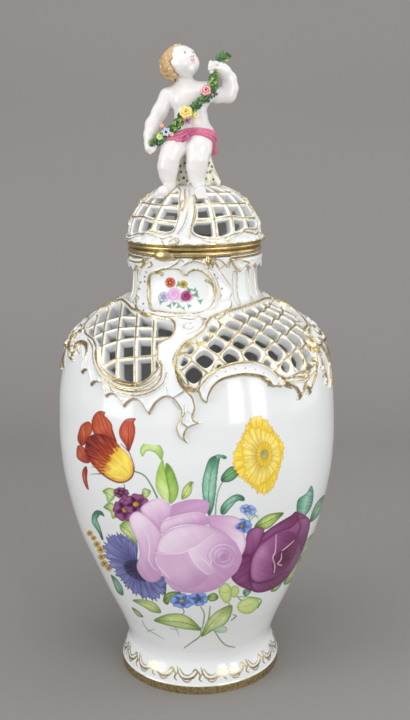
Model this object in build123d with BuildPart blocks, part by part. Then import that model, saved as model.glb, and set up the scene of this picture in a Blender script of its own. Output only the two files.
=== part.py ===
"""A porcelain potpourri vase: a footed ovoid body with a pierced shoulder, moulded scroll frames, a
grooved neck with two cartouches, and a pierced lid that carries a putto with a garland.

Millimetres, +Z up. The origin is the centre of the foot's underside. The front faces -Y, and an
azimuth is measured from the front towards +X.
"""

from math import cos, radians, sin
import os

from build123d import *

# Sizes of the body
BODY_HEIGHT = 350.0  # from the table to the seat of the lid
BODY_RADIUS = 110.7  # the belly at its widest
FOOT_RADIUS = 66.0
FOOT_EDGE = 6.0  # height of the upright gilt edge of the foot
NECK_RADIUS = 49.0  # the neck at its narrowest
WALL = 5.5
FLOOR = 8.0  # thickness of the chamber's floor
RIM_HEIGHT = 7.0
RIM_SWELL = 2.2  # how far the gilt rim stands out from the neck

# Sizes of the relief on the body
LUTE = 0.1  # slip between a luted piece and the wall
FRAME_RELIEF = 2.4
SCROLL_RELIEF = 4.0
CREST_RELIEF = 4.6
CARTOUCHE_RELIEF = 2.6
SQUARE_CELL = 10.5
DIAMOND_CELL = 9.6
CELL_CORNER = 3.0
GROOVE_WIDTH = 5.0
GROOVE_LENGTH = 24.0
GROOVE_DEPTH = 1.8

# Sizes of the lid
LID_HEIGHT = 51.5  # from its seat to the top of the dome
LID_RADIUS = 51.2
LID_WALL = 5.0
LID_CLEARANCE = 1.2  # between the locating collar and the neck's bore
SEAT_CLEARANCE = 0.3
COLLAR_DEPTH = 10.0
COLLAR_WALL = 4.0
LID_RIM_HEIGHT = 5.0
BORDER_HEIGHT = 11.0
BORDER_SWELL = 3.4
BORDER_SCALLOP = 3.2
LID_CELL = 8.6
RIB_WIDTH = 8.0
RIB_RELIEF = 2.4

# Sizes of the figure
FIGURE_HEIGHT = 105.0  # from the soles to the crown
LEAF_LENGTH = 7.0
LEAF_WIDTH = 3.6
LEAF_THICKNESS = 0.9
VINE_RADIUS = 1.6
BLOSSOM_RADIUS = 4.4
PETAL_THICKNESS = 0.9

OVERRUN = 2.0  # how far a cut runs past what it cuts

os.makedirs("parts", exist_ok=True)


def finish(builder, name):
    """Label a finished piece and write it."""
    builder.part.label = name
    export_step(builder.part, f"parts/{name}.step")


# Lines of the wall, drawn as radius and height
def tangent_chain(start, heading, points):
    """Arcs that run on from one another, from start through the points."""
    arcs = []
    for point in points:
        arc = TangentArc(start, point, tangent=heading)
        arcs.append(arc)
        start = arc @ 1
        heading = arc % 1
    return arcs


def lifted(arc, lift):
    """Three points of an arc, moved out from the wall by lift."""
    points = []
    for share in (0, 0.5, 1):
        along = arc % share
        out = Vector(along.Y, -along.X)
        if out.X < 0:
            out = -out
        points.append(arc @ share + out * lift)
    return points


def wall_section(arcs, inner, outer):
    """The edges of the closed section between two lifts of a chain of arcs."""
    edges = [Edge.make_three_point_arc(*lifted(arc, lift)) for arc in arcs for lift in (inner, outer)]
    edges.append(Edge.make_line(lifted(arcs[0], inner)[0], lifted(arcs[0], outer)[0]))
    edges.append(Edge.make_line(lifted(arcs[-1], inner)[-1], lifted(arcs[-1], outer)[-1]))
    return edges


WIDEST_SHARE = 0.586
widest = (BODY_RADIUS, WIDEST_SHARE * BODY_HEIGHT)
SHOULDER_SHARES = ((0.9666, 0.72), (0.7904, 0.8229), (0.5438, 0.8686))
NECK_BASE_SHARE = 0.92
NECK_FLARE_SHARE = 1.03
BELLY_SHARES = ((0.9304, 0.4143), (0.6089, 0.1429), (0.542, 0.0771))

shoulder_points = [(BODY_RADIUS * r, BODY_HEIGHT * z) for r, z in SHOULDER_SHARES]
neck_points = [
    (NECK_RADIUS, NECK_BASE_SHARE * BODY_HEIGHT),
    (NECK_RADIUS * NECK_FLARE_SHARE, BODY_HEIGHT - RIM_HEIGHT),
]
upper_arcs = tangent_chain(widest, (0, 1), shoulder_points + neck_points)
belly_points = [(BODY_RADIUS * r, BODY_HEIGHT * z) for r, z in BELLY_SHARES]
lower_arcs = tangent_chain(widest, (0, -1), belly_points + [(FOOT_RADIUS, FOOT_EDGE)])

shoulder_arcs = upper_arcs[:3]
neck_arcs = upper_arcs[3:]
climb = Wire(upper_arcs[:4])  # from the widest line up to the neck


def place_on(line, azimuth, share, turn=0):
    """A place on the outer wall at a share of the way along line, facing out."""
    point = line @ share
    along = line % share
    face = Plane(origin=(0, -point.X, point.Y), x_dir=(1, 0, 0), z_dir=(0, -along.Y, -along.X))
    return Location((0, 0, 0), (0, 0, azimuth)) * face.location * Location((0, 0, 0), (0, 0, turn))


def facing(azimuth):
    """An upright plane through the vase's axis, seen from outside at an azimuth."""
    angle = radians(azimuth)
    return Plane(
        origin=(0, 0, 0),
        x_dir=(cos(angle), sin(angle), 0),
        z_dir=(sin(angle), -cos(angle), 0),
    )


def seen(line, places):
    """Places on a wall, as azimuth from the view and share of the line, as that view sees them."""
    points = []
    for azimuth, share in places:
        point = line @ share
        points.append((point.X * sin(radians(azimuth)), point.Y))
    return points


# Foot
foot_arc = lower_arcs[3]
waist = foot_arc @ 0
with BuildPart() as foot_ring:
    with BuildSketch(Plane.XZ):
        with BuildLine():
            ThreePointArc(*lifted(foot_arc, 0))
            Polyline(
                foot_arc @ 1,
                (FOOT_RADIUS, 0),
                (FOOT_RADIUS - WALL, 0),
                (waist.X - WALL, waist.Y),
                waist,
            )
        make_face()
    revolve(axis=Axis.Z)
finish(foot_ring, "foot_ring")

# Belly, closed below by the chamber's floor and cut square on the foot
belly_arcs = [shoulder_arcs[0]] + lower_arcs[:3]
with BuildPart() as body_belly:
    with BuildSketch(Plane.XZ):
        with BuildLine():
            for arc in belly_arcs:
                ThreePointArc(*lifted(arc, 0))
            for arc in belly_arcs[:3]:
                ThreePointArc(*lifted(arc, -WALL))
            Line(lifted(belly_arcs[0], 0)[-1], lifted(belly_arcs[0], -WALL)[-1])
            inner_corner = lifted(belly_arcs[2], -WALL)[-1]
            Polyline(
                inner_corner,
                (waist.X - WALL, waist.Y + FLOOR),
                (0, waist.Y + FLOOR),
                (0, waist.Y),
                waist,
            )
        make_face()
    revolve(axis=Axis.Z)
finish(body_belly, "body_belly")

# Cells of the pierced shoulder, as runs of cells: the first cell's azimuth and share of the climb,
# the step to the next in both, and how many
SQUARE_RUN_SHARES = (
    (-62, 0.845, -9, -0.053, 3),
    (-44, 0.770, -9.3, -0.049, 3),
    (-16, 0.732, -10, -0.028, 5),
    (-24.5, 0.610, -8.3, -0.032, 3),
    (-21, 0.489, -8.2, -0.02, 2),
)
DIAMOND_RUN_SHARES = (
    (-0.8, 0.473, 5.9, 0.073, 5),
    (14.3, 0.561, 8.0, 0.063, 4),
    (25.5, 0.561, 8.7, 0.048, 5),
    (29.5, 0.507, 8.0, 0.028, 5),
    (39.5, 0.456, 7.3, 0.018, 3),
    (50.0, 0.766, 11.9, 0.012, 2),
)


LEAN_SHARE = -0.7  # how far the squares turn with their azimuth


def cells(runs, turn):
    """The places of the cells of one half, which squares (turn 0) lean round the side."""
    places = []
    for azimuth, share, azimuth_step, share_step, count in runs:
        for cell in range(count):
            cell_azimuth = azimuth + azimuth_step * cell
            lean = LEAN_SHARE * cell_azimuth if turn == 0 else 0
            places.append(place_on(climb, cell_azimuth, share + share_step * cell, turn + lean))
    return places


with BuildPart() as shoulder_half:
    with BuildSketch(facing(180)):
        make_face(wall_section(shoulder_arcs[1:], -WALL, 0))
    revolve(axis=Axis.Z, revolution_arc=180)
    with Locations(*cells(SQUARE_RUN_SHARES, 0)):
        Box(SQUARE_CELL, SQUARE_CELL, 3 * WALL, mode=Mode.SUBTRACT)
    with BuildSketch(*[Plane(place) for place in cells(DIAMOND_RUN_SHARES, 45)]):
        RectangleRounded(DIAMOND_CELL, DIAMOND_CELL, CELL_CORNER)
    extrude(amount=1.5 * WALL, both=True, mode=Mode.SUBTRACT)
with BuildPart() as body_shoulder:
    add(shoulder_half.part)
    add(shoulder_half.part, rotation=(0, 0, 180))
finish(body_shoulder, "body_shoulder")

# Scroll frames round the windows. Places are (azimuth from the window's middle, share of the climb)
SQUARE_AZIMUTH = -42
FLAME_TIP_SHARES = (
    (-30, 0.5),
    (-12.5, 0.458),
    (-4, 0.356),
    (5, 0.315),
    (13.6, 0.28),
    (24, 0.258),
)
DRIP_HOLLOW_SHARES = ((27, 0.317), (36, 0.2535))
FLAME_RISE_SHARE = 0.045  # how far each hollow climbs above the middle of its two tips
DRIP_SHARES = (
    (34.8, 0.204),
    (36.5, 0.144),
    (39.1, 0.121),
    (38, 0.176),
    (42.3, 0.223),
    (40.7, 0.268),
    (41, 0.331),
    (37, 0.391),
)
SQUARE_SIDE_SHARES = (
    (33.7, 0.458),
    (34, 0.549),
    (37.5, 0.634),
    (43, 0.697),
    (45, 0.796),
    (47, 0.846),
    (-45, 0.846),
    (-45, 0.655),
    (-40, 0.549),
)
SQUARE_OPENING_SHARES = (
    (-37, 0.815),
    (-40, 0.75),
    (-37, 0.67),
    (-27, 0.63),
    (-17, 0.613),
    (-5.6, 0.561),
    (0.4, 0.467),
    (6, 0.426),
    (13, 0.401),
    (19.6, 0.408),
    (23.8, 0.451),
    (27.2, 0.497),
    (25, 0.585),
    (29.8, 0.643),
    (33.5, 0.683),
    (33, 0.746),
    (29, 0.792),
    (18, 0.81),
    (-3, 0.82),
    (-20, 0.825),
)
DIAMOND_AZIMUTH = 33
DIAMOND_OUTER_SHARES = (
    (-43, 0.391),
    (-43, 0.846),
    (47, 0.846),
    (47, 0.62),
    (41, 0.5),
    (33, 0.408),
    (24, 0.36),
    (19, 0.289),
    (15.5, 0.345),
    (10.3, 0.278),
    (8, 0.338),
    (4, 0.373),
    (0, 0.41),
    (-15, 0.49),
    (-30, 0.44),
    (-35, 0.373),
)
DIAMOND_OPENING_SHARES = (
    (-34.5, 0.42),
    (-37.5, 0.458),
    (-38.5, 0.528),
    (-36, 0.599),
    (-30.5, 0.655),
    (-27, 0.711),
    (-24, 0.782),
    (-15, 0.82),
    (0, 0.828),
    (15, 0.828),
    (31, 0.825),
    (36, 0.782),
    (33, 0.683),
    (28, 0.599),
    (25.5, 0.5),
    (21, 0.444),
    (13, 0.426),
    (6, 0.44),
    (0, 0.49),
    (-8, 0.525),
    (-22, 0.52),
    (-31, 0.47),
)
SCROLL_OUTER_SHARES = (
    (-29.3, 0.32),
    (-32.5, 0.394),
    (-27.1, 0.479),
    (-16, 0.52),
    (-4, 0.472),
    (0.2, 0.394),
    (-1.5, 0.378),
)
SCROLL_INNER_SHARES = (
    (-1.5, 0.378),
    (-4, 0.385),
    (-8.2, 0.433),
    (-15.5, 0.45),
    (-23.6, 0.432),
    (-27.5, 0.38),
    (-29.3, 0.32),
)
CREST_AZIMUTH = 87
CREST_SHARES = (
    (-5.5, 0.846),
    (-5.5, 0.62),
    (-8, 0.5),
    (-10, 0.42),
    (-6, 0.36),
    (-2, 0.27),
    (0, 0.16),
    (3, 0.28),
    (7, 0.37),
    (10, 0.45),
    (6, 0.55),
    (5.5, 0.64),
    (5.5, 0.846),
)


def flames(tips):
    """Hollow arcs from each place to the next, as a row of flames."""
    edges = []
    for first, last in zip(tips[:-1], tips[1:]):
        hollow = ((first[0] + last[0]) / 2, (first[1] + last[1]) / 2 + FLAME_RISE_SHARE)
        edges.append(Edge.make_three_point_arc(*[Vector(p) for p in seen(climb, (first, hollow, last))]))
    return edges


def straight(places):
    """Straight edges from each place to the next."""
    points = seen(climb, places)
    return [Edge.make_line(Vector(a), Vector(b)) for a, b in zip(points[:-1], points[1:])]


square_outline = (
    flames(FLAME_TIP_SHARES)
    + straight(FLAME_TIP_SHARES[-1:] + DRIP_HOLLOW_SHARES[:1])
    + flames(DRIP_HOLLOW_SHARES)
    + straight(DRIP_HOLLOW_SHARES[-1:] + DRIP_SHARES + SQUARE_SIDE_SHARES + FLAME_TIP_SHARES[:1])
)
scroll_outline = [
    Edge.make_spline([Vector(p) for p in seen(climb, places)])
    for places in (SCROLL_OUTER_SHARES, SCROLL_INNER_SHARES)
]


def relief_layer(arcs, relief):
    """The section of a layer luted over arcs of the wall."""
    return make_face(wall_section(arcs, LUTE, LUTE + relief), mode=Mode.PRIVATE)


with BuildPart() as square_frame:
    with BuildSketch(Plane.XZ):
        add(relief_layer(shoulder_arcs, FRAME_RELIEF))
    revolve(axis=Axis.Z)
    with BuildSketch(facing(SQUARE_AZIMUTH)):
        make_face(square_outline)
    extrude(amount=2 * BODY_RADIUS, mode=Mode.INTERSECT)
    with BuildSketch(facing(SQUARE_AZIMUTH)):
        with BuildLine():
            Spline(*seen(climb, SQUARE_OPENING_SHARES), periodic=True)
        make_face()
    extrude(amount=2 * BODY_RADIUS, mode=Mode.SUBTRACT)

with BuildPart() as diamond_frame:
    with BuildSketch(Plane.XZ):
        add(relief_layer(shoulder_arcs, FRAME_RELIEF))
    revolve(axis=Axis.Z)
    with BuildSketch(facing(DIAMOND_AZIMUTH)):
        make_face(straight(DIAMOND_OUTER_SHARES + DIAMOND_OUTER_SHARES[:1]))
    extrude(amount=2 * BODY_RADIUS, mode=Mode.INTERSECT)
    with BuildSketch(facing(DIAMOND_AZIMUTH)):
        with BuildLine():
            Spline(*seen(climb, DIAMOND_OPENING_SHARES), periodic=True)
        make_face()
        make_face(scroll_outline)
    extrude(amount=2 * BODY_RADIUS, mode=Mode.SUBTRACT)
    with BuildSketch(facing(SQUARE_AZIMUTH)):
        make_face(square_outline)
    extrude(amount=2 * BODY_RADIUS, mode=Mode.SUBTRACT)

with BuildPart() as shell_scroll:
    with BuildSketch(Plane.XZ):
        add(relief_layer(shoulder_arcs, SCROLL_RELIEF))
    revolve(axis=Axis.Z)
    with BuildSketch(facing(DIAMOND_AZIMUTH)):
        make_face(scroll_outline)
    extrude(amount=2 * BODY_RADIUS, mode=Mode.INTERSECT)

with BuildPart() as side_crest:
    with BuildSketch(Plane.XZ):
        add(relief_layer(shoulder_arcs, CREST_RELIEF))
    revolve(axis=Axis.Z)
    with BuildSketch(facing(CREST_AZIMUTH)):
        make_face(straight(CREST_SHARES + CREST_SHARES[:1]))
    extrude(amount=2 * BODY_RADIUS, mode=Mode.INTERSECT)

for relief, names in (
    (square_frame, ("square_frame_front", "square_frame_rear")),
    (diamond_frame, ("diamond_frame_front", "diamond_frame_rear")),
    (shell_scroll, ("shell_scroll_front", "shell_scroll_rear")),
    (side_crest, ("side_crest_right", "side_crest_left")),
):
    for turn, name in zip((0, 180), names):
        with BuildPart() as copy:
            add(relief.part, rotation=(0, 0, turn))
        finish(copy, name)

# Neck with its grooves, and the gilt rim that carries the lid
neck_line = Wire(neck_arcs)
neck_top = neck_arcs[1] @ 1
neck_top_inside = lifted(neck_arcs[1], -WALL)[-1]
bore_radius = neck_top_inside.X
GROOVE_SHARE = 0.62  # the middle of the grooves on the way up the neck
GROOVE_AZIMUTHS = (48, 66, 84, 102, 120)
CARTOUCHE_AZIMUTHS = (-8, 172)

groove_places = [
    place_on(neck_line, azimuth + turn, GROOVE_SHARE) for azimuth in GROOVE_AZIMUTHS for turn in (0, 180)
]
with BuildPart() as neck_collar:
    with BuildSketch(Plane.XZ):
        make_face(wall_section(neck_arcs, -WALL, 0))
    revolve(axis=Axis.Z)
    with BuildSketch(*[Plane(place) for place in groove_places]):
        SlotOverall(GROOVE_LENGTH, GROOVE_WIDTH, rotation=90)
    extrude(amount=GROOVE_DEPTH, both=True, mode=Mode.SUBTRACT)
finish(neck_collar, "neck_collar")

with BuildPart() as neck_rim:
    with BuildSketch(Plane.XZ):
        with BuildLine():
            Polyline(
                neck_top,
                neck_top_inside,
                (bore_radius, BODY_HEIGHT),
                (neck_top.X, BODY_HEIGHT),
            )
            ThreePointArc(
                (neck_top.X, BODY_HEIGHT),
                (neck_top.X + RIM_SWELL, BODY_HEIGHT - RIM_HEIGHT / 2),
                neck_top,
            )
        make_face()
    revolve(axis=Axis.Z)
finish(neck_rim, "neck_rim")

CARTOUCHE_OUTER_SHARES = (
    (-42, 0.06),
    (-47, 0.30),
    (-44, 0.50),
    (-49, 0.72),
    (-44, 0.93),
    (-24, 0.97),
    (-6, 0.90),
    (12, 0.97),
    (32, 0.92),
    (43, 0.74),
    (38, 0.52),
    (44, 0.33),
    (36, 0.06),
    (14, 0.02),
    (-18, 0.02),
)
CARTOUCHE_PANEL_SHARES = (
    (-32, 0.32),
    (-35, 0.50),
    (-32, 0.74),
    (-16, 0.80),
    (-4, 0.72),
    (8, 0.82),
    (22, 0.76),
    (29, 0.52),
    (25, 0.33),
    (-4, 0.25),
)

with BuildPart() as cartouche:
    with BuildSketch(Plane.XZ):
        add(relief_layer(neck_arcs, CARTOUCHE_RELIEF))
    revolve(axis=Axis.Z)
    with BuildSketch(facing(0)):
        with BuildLine():
            Spline(*seen(neck_line, CARTOUCHE_OUTER_SHARES), periodic=True)
        make_face()
        with BuildLine():
            Spline(*seen(neck_line, CARTOUCHE_PANEL_SHARES), periodic=True)
        make_face(mode=Mode.SUBTRACT)
    extrude(amount=BODY_RADIUS, mode=Mode.INTERSECT)
for azimuth, name in zip(CARTOUCHE_AZIMUTHS, ("cartouche_front", "cartouche_rear")):
    with BuildPart() as copy:
        add(cartouche.part, rotation=(0, 0, azimuth))
    finish(copy, name)

# Lid: a locating collar, a gilt rim, a scalloped border and a pierced dome
seat = BODY_HEIGHT + SEAT_CLEARANCE
collar_radius = bore_radius - LID_CLEARANCE
DOME_SHARES = ((0.949, 0.4), (0.797, 0.69), (0.547, 0.89), (0.04, 1.0))
dome_base = (LID_RADIUS, seat + LID_RIM_HEIGHT)
dome_rise = LID_HEIGHT - LID_RIM_HEIGHT
dome_points = [(LID_RADIUS * r, dome_base[1] + dome_rise * z) for r, z in DOME_SHARES]
dome_arcs = tangent_chain(dome_base, (0, 1), dome_points)
dome_line = Wire(dome_arcs)

with BuildPart() as lid_collar:
    with BuildSketch(Plane.XZ):
        Polygon(
            (collar_radius, BODY_HEIGHT - COLLAR_DEPTH),
            (collar_radius, seat),
            (collar_radius - COLLAR_WALL, seat),
            (collar_radius - COLLAR_WALL, BODY_HEIGHT - COLLAR_DEPTH),
            align=None,
        )
    revolve(axis=Axis.Z)
finish(lid_collar, "lid_collar")

with BuildPart() as lid_rim:
    with BuildSketch(Plane.XZ):
        with BuildLine():
            Polyline(
                (LID_RADIUS, seat + LID_RIM_HEIGHT),
                (collar_radius - COLLAR_WALL, seat + LID_RIM_HEIGHT),
                (collar_radius - COLLAR_WALL, seat),
                (LID_RADIUS, seat),
            )
            ThreePointArc(
                (LID_RADIUS, seat),
                (LID_RADIUS + RIM_SWELL / 2, seat + LID_RIM_HEIGHT / 2),
                (LID_RADIUS, seat + LID_RIM_HEIGHT),
            )
        make_face()
    revolve(axis=Axis.Z)
finish(lid_rim, "lid_rim")

LID_WINDOW_AZIMUTHS = (32, 122, 212, 302)
LID_CELL_ROW_SHARES = ((0.17, (-30, -15, 0, 15, 30)), (0.33, (-28, -9.5, 9.5, 28)), (0.49, (-24, 0, 24)))
with BuildPart() as lid_dome:
    with BuildSketch(Plane.XZ):
        with BuildLine():
            for arc in dome_arcs:
                ThreePointArc(*lifted(arc, 0))
            for arc in dome_arcs[:3]:
                ThreePointArc(*lifted(arc, -LID_WALL))
            crown = dome_arcs[-1] @ 1
            inner_crown = lifted(dome_arcs[2], -LID_WALL)[-1]
            Line(lifted(dome_arcs[0], 0)[0], lifted(dome_arcs[0], -LID_WALL)[0])
            Polyline(inner_crown, (0, inner_crown.Y), (0, crown.Y), crown)
        make_face()
    revolve(axis=Axis.Z)
    lid_cells = [
        place_on(dome_line, azimuth + offset, share)
        for azimuth in LID_WINDOW_AZIMUTHS
        for share, offsets in LID_CELL_ROW_SHARES
        for offset in offsets
    ]
    with Locations(*lid_cells):
        Box(LID_CELL, LID_CELL, 3 * LID_WALL, mode=Mode.SUBTRACT)
finish(lid_dome, "lid_dome")

SCALLOPS = 24
with BuildPart() as lid_border:
    with BuildSketch(Plane.XZ):
        with BuildLine():
            foot_of_border = (LID_RADIUS + LUTE, seat + LID_RIM_HEIGHT)
            Line(foot_of_border, (LID_RADIUS + BORDER_SWELL, seat + LID_RIM_HEIGHT))
            ThreePointArc(
                (LID_RADIUS + BORDER_SWELL, seat + LID_RIM_HEIGHT),
                (LID_RADIUS + BORDER_SWELL / 2, seat + LID_RIM_HEIGHT + BORDER_HEIGHT / 2),
                (LID_RADIUS + LUTE, seat + LID_RIM_HEIGHT + BORDER_HEIGHT),
            )
            Line((LID_RADIUS + LUTE, seat + LID_RIM_HEIGHT + BORDER_HEIGHT), foot_of_border)
        make_face()
    revolve(axis=Axis.Z)
    with PolarLocations(LID_RADIUS + BORDER_SWELL, SCALLOPS):
        with Locations((0, 0, seat + LID_RIM_HEIGHT)):
            Cylinder(
                BORDER_SCALLOP,
                2 * BORDER_SWELL,
                rotation=(0, 90, 0),
                mode=Mode.SUBTRACT,
            )
finish(lid_border, "lid_border")

RIB_AZIMUTHS = (-13, 77, 167, 257)
with BuildPart() as lid_ribs:
    with BuildSketch(Plane.XZ):
        add(relief_layer(dome_arcs[:3], RIB_RELIEF))
    revolve(axis=Axis.Z)
    with BuildSketch(Plane.XY):
        with PolarLocations(0, len(RIB_AZIMUTHS), start_angle=RIB_AZIMUTHS[0] - 90):
            with Locations((LID_RADIUS / 2 + OVERRUN, 0)):
                Rectangle(LID_RADIUS + 2 * OVERRUN, RIB_WIDTH)
        Circle((dome_arcs[2] @ 0.5).X, mode=Mode.SUBTRACT)
    extrude(amount=BODY_HEIGHT + LID_HEIGHT + OVERRUN, mode=Mode.INTERSECT)
    with BuildSketch(Plane.XY.offset(seat)):
        Circle(LID_RADIUS + BORDER_SWELL + OVERRUN)
    extrude(amount=LID_RIM_HEIGHT + BORDER_HEIGHT + LUTE, mode=Mode.SUBTRACT)
finish(lid_ribs, "lid_ribs")

# Figure. Places are shares of its height: across, back and up from the point between its feet
SOLE_SHARE = 0.9  # height of the soles as a share of the dome's rise
sole_level = dome_base[1] + dome_rise * SOLE_SHARE


def on_figure(across_share, back_share, up_share):
    """A place on the figure."""
    return Vector(
        FIGURE_HEIGHT * across_share,
        FIGURE_HEIGHT * back_share,
        sole_level + FIGURE_HEIGHT * up_share,
    )


BONE_SHARE = 0.96  # a bone is this much thinner than the ball at its end


def limb(joints):
    """Solids of a limb: a ball at each joint, and a tapered bone between each two."""
    solids = []
    for (x, y, z, radius_share) in joints:
        centre = on_figure(x, y, z)
        solids.append(Pos(*centre) * Sphere(FIGURE_HEIGHT * radius_share, mode=Mode.PRIVATE))
    for first, last in zip(joints[:-1], joints[1:]):
        start = on_figure(*first[:3])
        end = on_figure(*last[:3])
        bone = Cone(
            FIGURE_HEIGHT * first[3] * BONE_SHARE,
            FIGURE_HEIGHT * last[3] * BONE_SHARE,
            (end - start).length,
            align=(Align.CENTER, Align.CENTER, Align.MIN),
            mode=Mode.PRIVATE,
        )
        solids.append(Plane(origin=start, z_dir=end - start).location * bone)
    return solids


STUMP_SHARES = ((0.02, 0.10, -0.04, 0.20), (0.02, 0.08, 0.10, 0.15), (0.0, 0.09, 0.26, 0.13))
TORSO_SHARES = (
    (-0.01, 0.0, 0.29, 0.085, 0.075),
    (-0.01, 0.0, 0.36, 0.125, 0.105),
    (-0.012, -0.005, 0.45, 0.115, 0.095),
    (-0.02, 0.0, 0.56, 0.132, 0.10),
    (-0.02, 0.005, 0.64, 0.14, 0.09),
    (-0.035, 0.0, 0.70, 0.08, 0.065),
    (-0.05, -0.005, 0.75, 0.055, 0.055),
    (-0.058, -0.01, 0.80, 0.055, 0.055),
)
HEAD_SHARES = ((-0.07, 0.0, 0.895, 0.112),)
JAW_SHARES = ((-0.025, -0.055, 0.85, 0.078), (-0.045, -0.04, 0.885, 0.085))
HAIR_SHARES = ((-0.10, 0.04, 0.885, 0.118), (-0.15, 0.02, 0.83, 0.052), (-0.11, 0.06, 0.79, 0.048))
RIGHT_ARM_SHARES = (
    (-0.15, 0.0, 0.635, 0.062),
    (-0.31, -0.03, 0.44, 0.052),
    (-0.325, -0.10, 0.335, 0.038),
    (-0.285, -0.14, 0.305, 0.042),
)
LEFT_ARM_SHARES = (
    (0.12, 0.0, 0.655, 0.062),
    (0.275, 0.0, 0.665, 0.06),
    (0.22, -0.05, 0.83, 0.044),
    (0.17, -0.07, 0.87, 0.055),
)
RIGHT_LEG_SHARES = (
    (-0.10, -0.02, 0.35, 0.082),
    (-0.165, -0.13, 0.18, 0.068),
    (-0.165, -0.15, 0.06, 0.048),
    (-0.20, -0.235, 0.02, 0.036),
)
LEFT_LEG_SHARES = (
    (0.078, -0.02, 0.35, 0.088),
    (0.035, -0.15, 0.18, 0.072),
    (0.045, -0.16, 0.06, 0.05),
    (0.06, -0.25, 0.02, 0.036),
)
SASH_SHARES = (0.385, 0.155, 0.135, 0.05)  # height, half width, half depth and band
SASH_TAIL_SHARES = ((0.14, -0.03, 0.375, 0.03), (0.155, -0.02, 0.30, 0.022), (0.16, -0.01, 0.24, 0.012))
VINE_SHARES = (
    (0.225, -0.10, 0.93),
    (0.16, -0.125, 0.85),
    (0.15, -0.15, 0.74),
    (0.10, -0.17, 0.67),
    (0.03, -0.18, 0.585),
    (-0.045, -0.19, 0.52),
    (-0.14, -0.20, 0.43),
    (-0.20, -0.20, 0.40),
    (-0.265, -0.18, 0.335),
)

with BuildPart() as dome_form:
    with BuildSketch(Plane.XZ):
        with BuildLine():
            for arc in dome_arcs:
                ThreePointArc(*lifted(arc, 0))
            Polyline(crown, (0, crown.Y), (0, dome_base[1]), dome_base)
        make_face()
    revolve(axis=Axis.Z)

with BuildPart() as tree_stump:
    add(limb(STUMP_SHARES))
    add(dome_form.part, mode=Mode.SUBTRACT)

with BuildPart() as putto_torso:
    for x, y, z, across, deep in TORSO_SHARES:
        with BuildSketch(Plane(origin=on_figure(x, y, z), x_dir=(1, 0, 0), z_dir=(0, 0, 1))):
            Ellipse(FIGURE_HEIGHT * across, FIGURE_HEIGHT * deep)
    loft(ruled=True)
    add(tree_stump.part, mode=Mode.SUBTRACT)


def figure_piece(joints, carriers):
    """A rounded piece of the figure, cut where it meets the pieces that carry it."""
    with BuildPart() as piece:
        add(limb(joints))
        for carrier in carriers:
            add(carrier.part, mode=Mode.SUBTRACT)
    return piece


putto_head = figure_piece(HEAD_SHARES + JAW_SHARES, (putto_torso,))
putto_hair = figure_piece(HAIR_SHARES, (putto_torso, putto_head))
putto_right_arm = figure_piece(RIGHT_ARM_SHARES, (putto_torso,))
putto_left_arm = figure_piece(LEFT_ARM_SHARES, (putto_torso,))
putto_right_leg = figure_piece(RIGHT_LEG_SHARES, (putto_torso, tree_stump, dome_form))
putto_left_leg = figure_piece(LEFT_LEG_SHARES, (putto_torso, tree_stump, dome_form))

sash_level, sash_across, sash_deep, sash_band = SASH_SHARES
with BuildPart() as sash:
    with BuildSketch(Plane(origin=on_figure(-0.01, -0.005, sash_level - sash_band / 2), z_dir=(0, 0, 1))):
        Ellipse(FIGURE_HEIGHT * sash_across, FIGURE_HEIGHT * sash_deep)
    extrude(amount=FIGURE_HEIGHT * sash_band)
    add(limb(SASH_TAIL_SHARES))
    for carrier in (putto_torso, putto_right_leg, putto_left_leg, tree_stump, putto_right_arm):
        add(carrier.part, mode=Mode.SUBTRACT)

# Garland: a vine with leaves, and blossoms set on it
vine_points = [on_figure(*place) for place in VINE_SHARES]
LEAVES_PER_RUN = 3

leaf_places = []
for run, (first, last) in enumerate(zip(vine_points[:-1], vine_points[1:])):
    along = last - first
    for step in range(LEAVES_PER_RUN):
        turn = 137 * (run * LEAVES_PER_RUN + step)
        base = Plane(origin=first + along * (step / LEAVES_PER_RUN), z_dir=along).rotated((0, 0, turn))
        leaf_places.append(base.location * Location((0, 0, 0), (60, 35, 0)))
with BuildPart() as garland:
    for first, last in zip(vine_points[:-1], vine_points[1:]):
        with Locations(Plane(origin=first, z_dir=last - first).location):
            Cylinder(
                VINE_RADIUS, (last - first).length, align=(Align.CENTER, Align.CENTER, Align.MIN)
            )
    with Locations(*vine_points):
        Sphere(VINE_RADIUS)
    with BuildSketch(*[Plane(place) for place in leaf_places]):
        with Locations((LEAF_LENGTH / 2, 0)):
            Ellipse(LEAF_LENGTH / 2, LEAF_WIDTH / 2)
    extrude(amount=LEAF_THICKNESS / 2, both=True)
    for carrier in (putto_left_arm, putto_right_arm, putto_right_leg):
        add(carrier.part, mode=Mode.SUBTRACT)

pieces = {
    "tree_stump": tree_stump,
    "putto_torso": putto_torso,
    "putto_head": putto_head,
    "putto_hair": putto_hair,
    "putto_right_arm": putto_right_arm,
    "putto_left_arm": putto_left_arm,
    "putto_right_leg": putto_right_leg,
    "putto_left_leg": putto_left_leg,
    "sash": sash,
    "garland": garland,
}
for name, piece in pieces.items():
    finish(piece, name)

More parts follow.
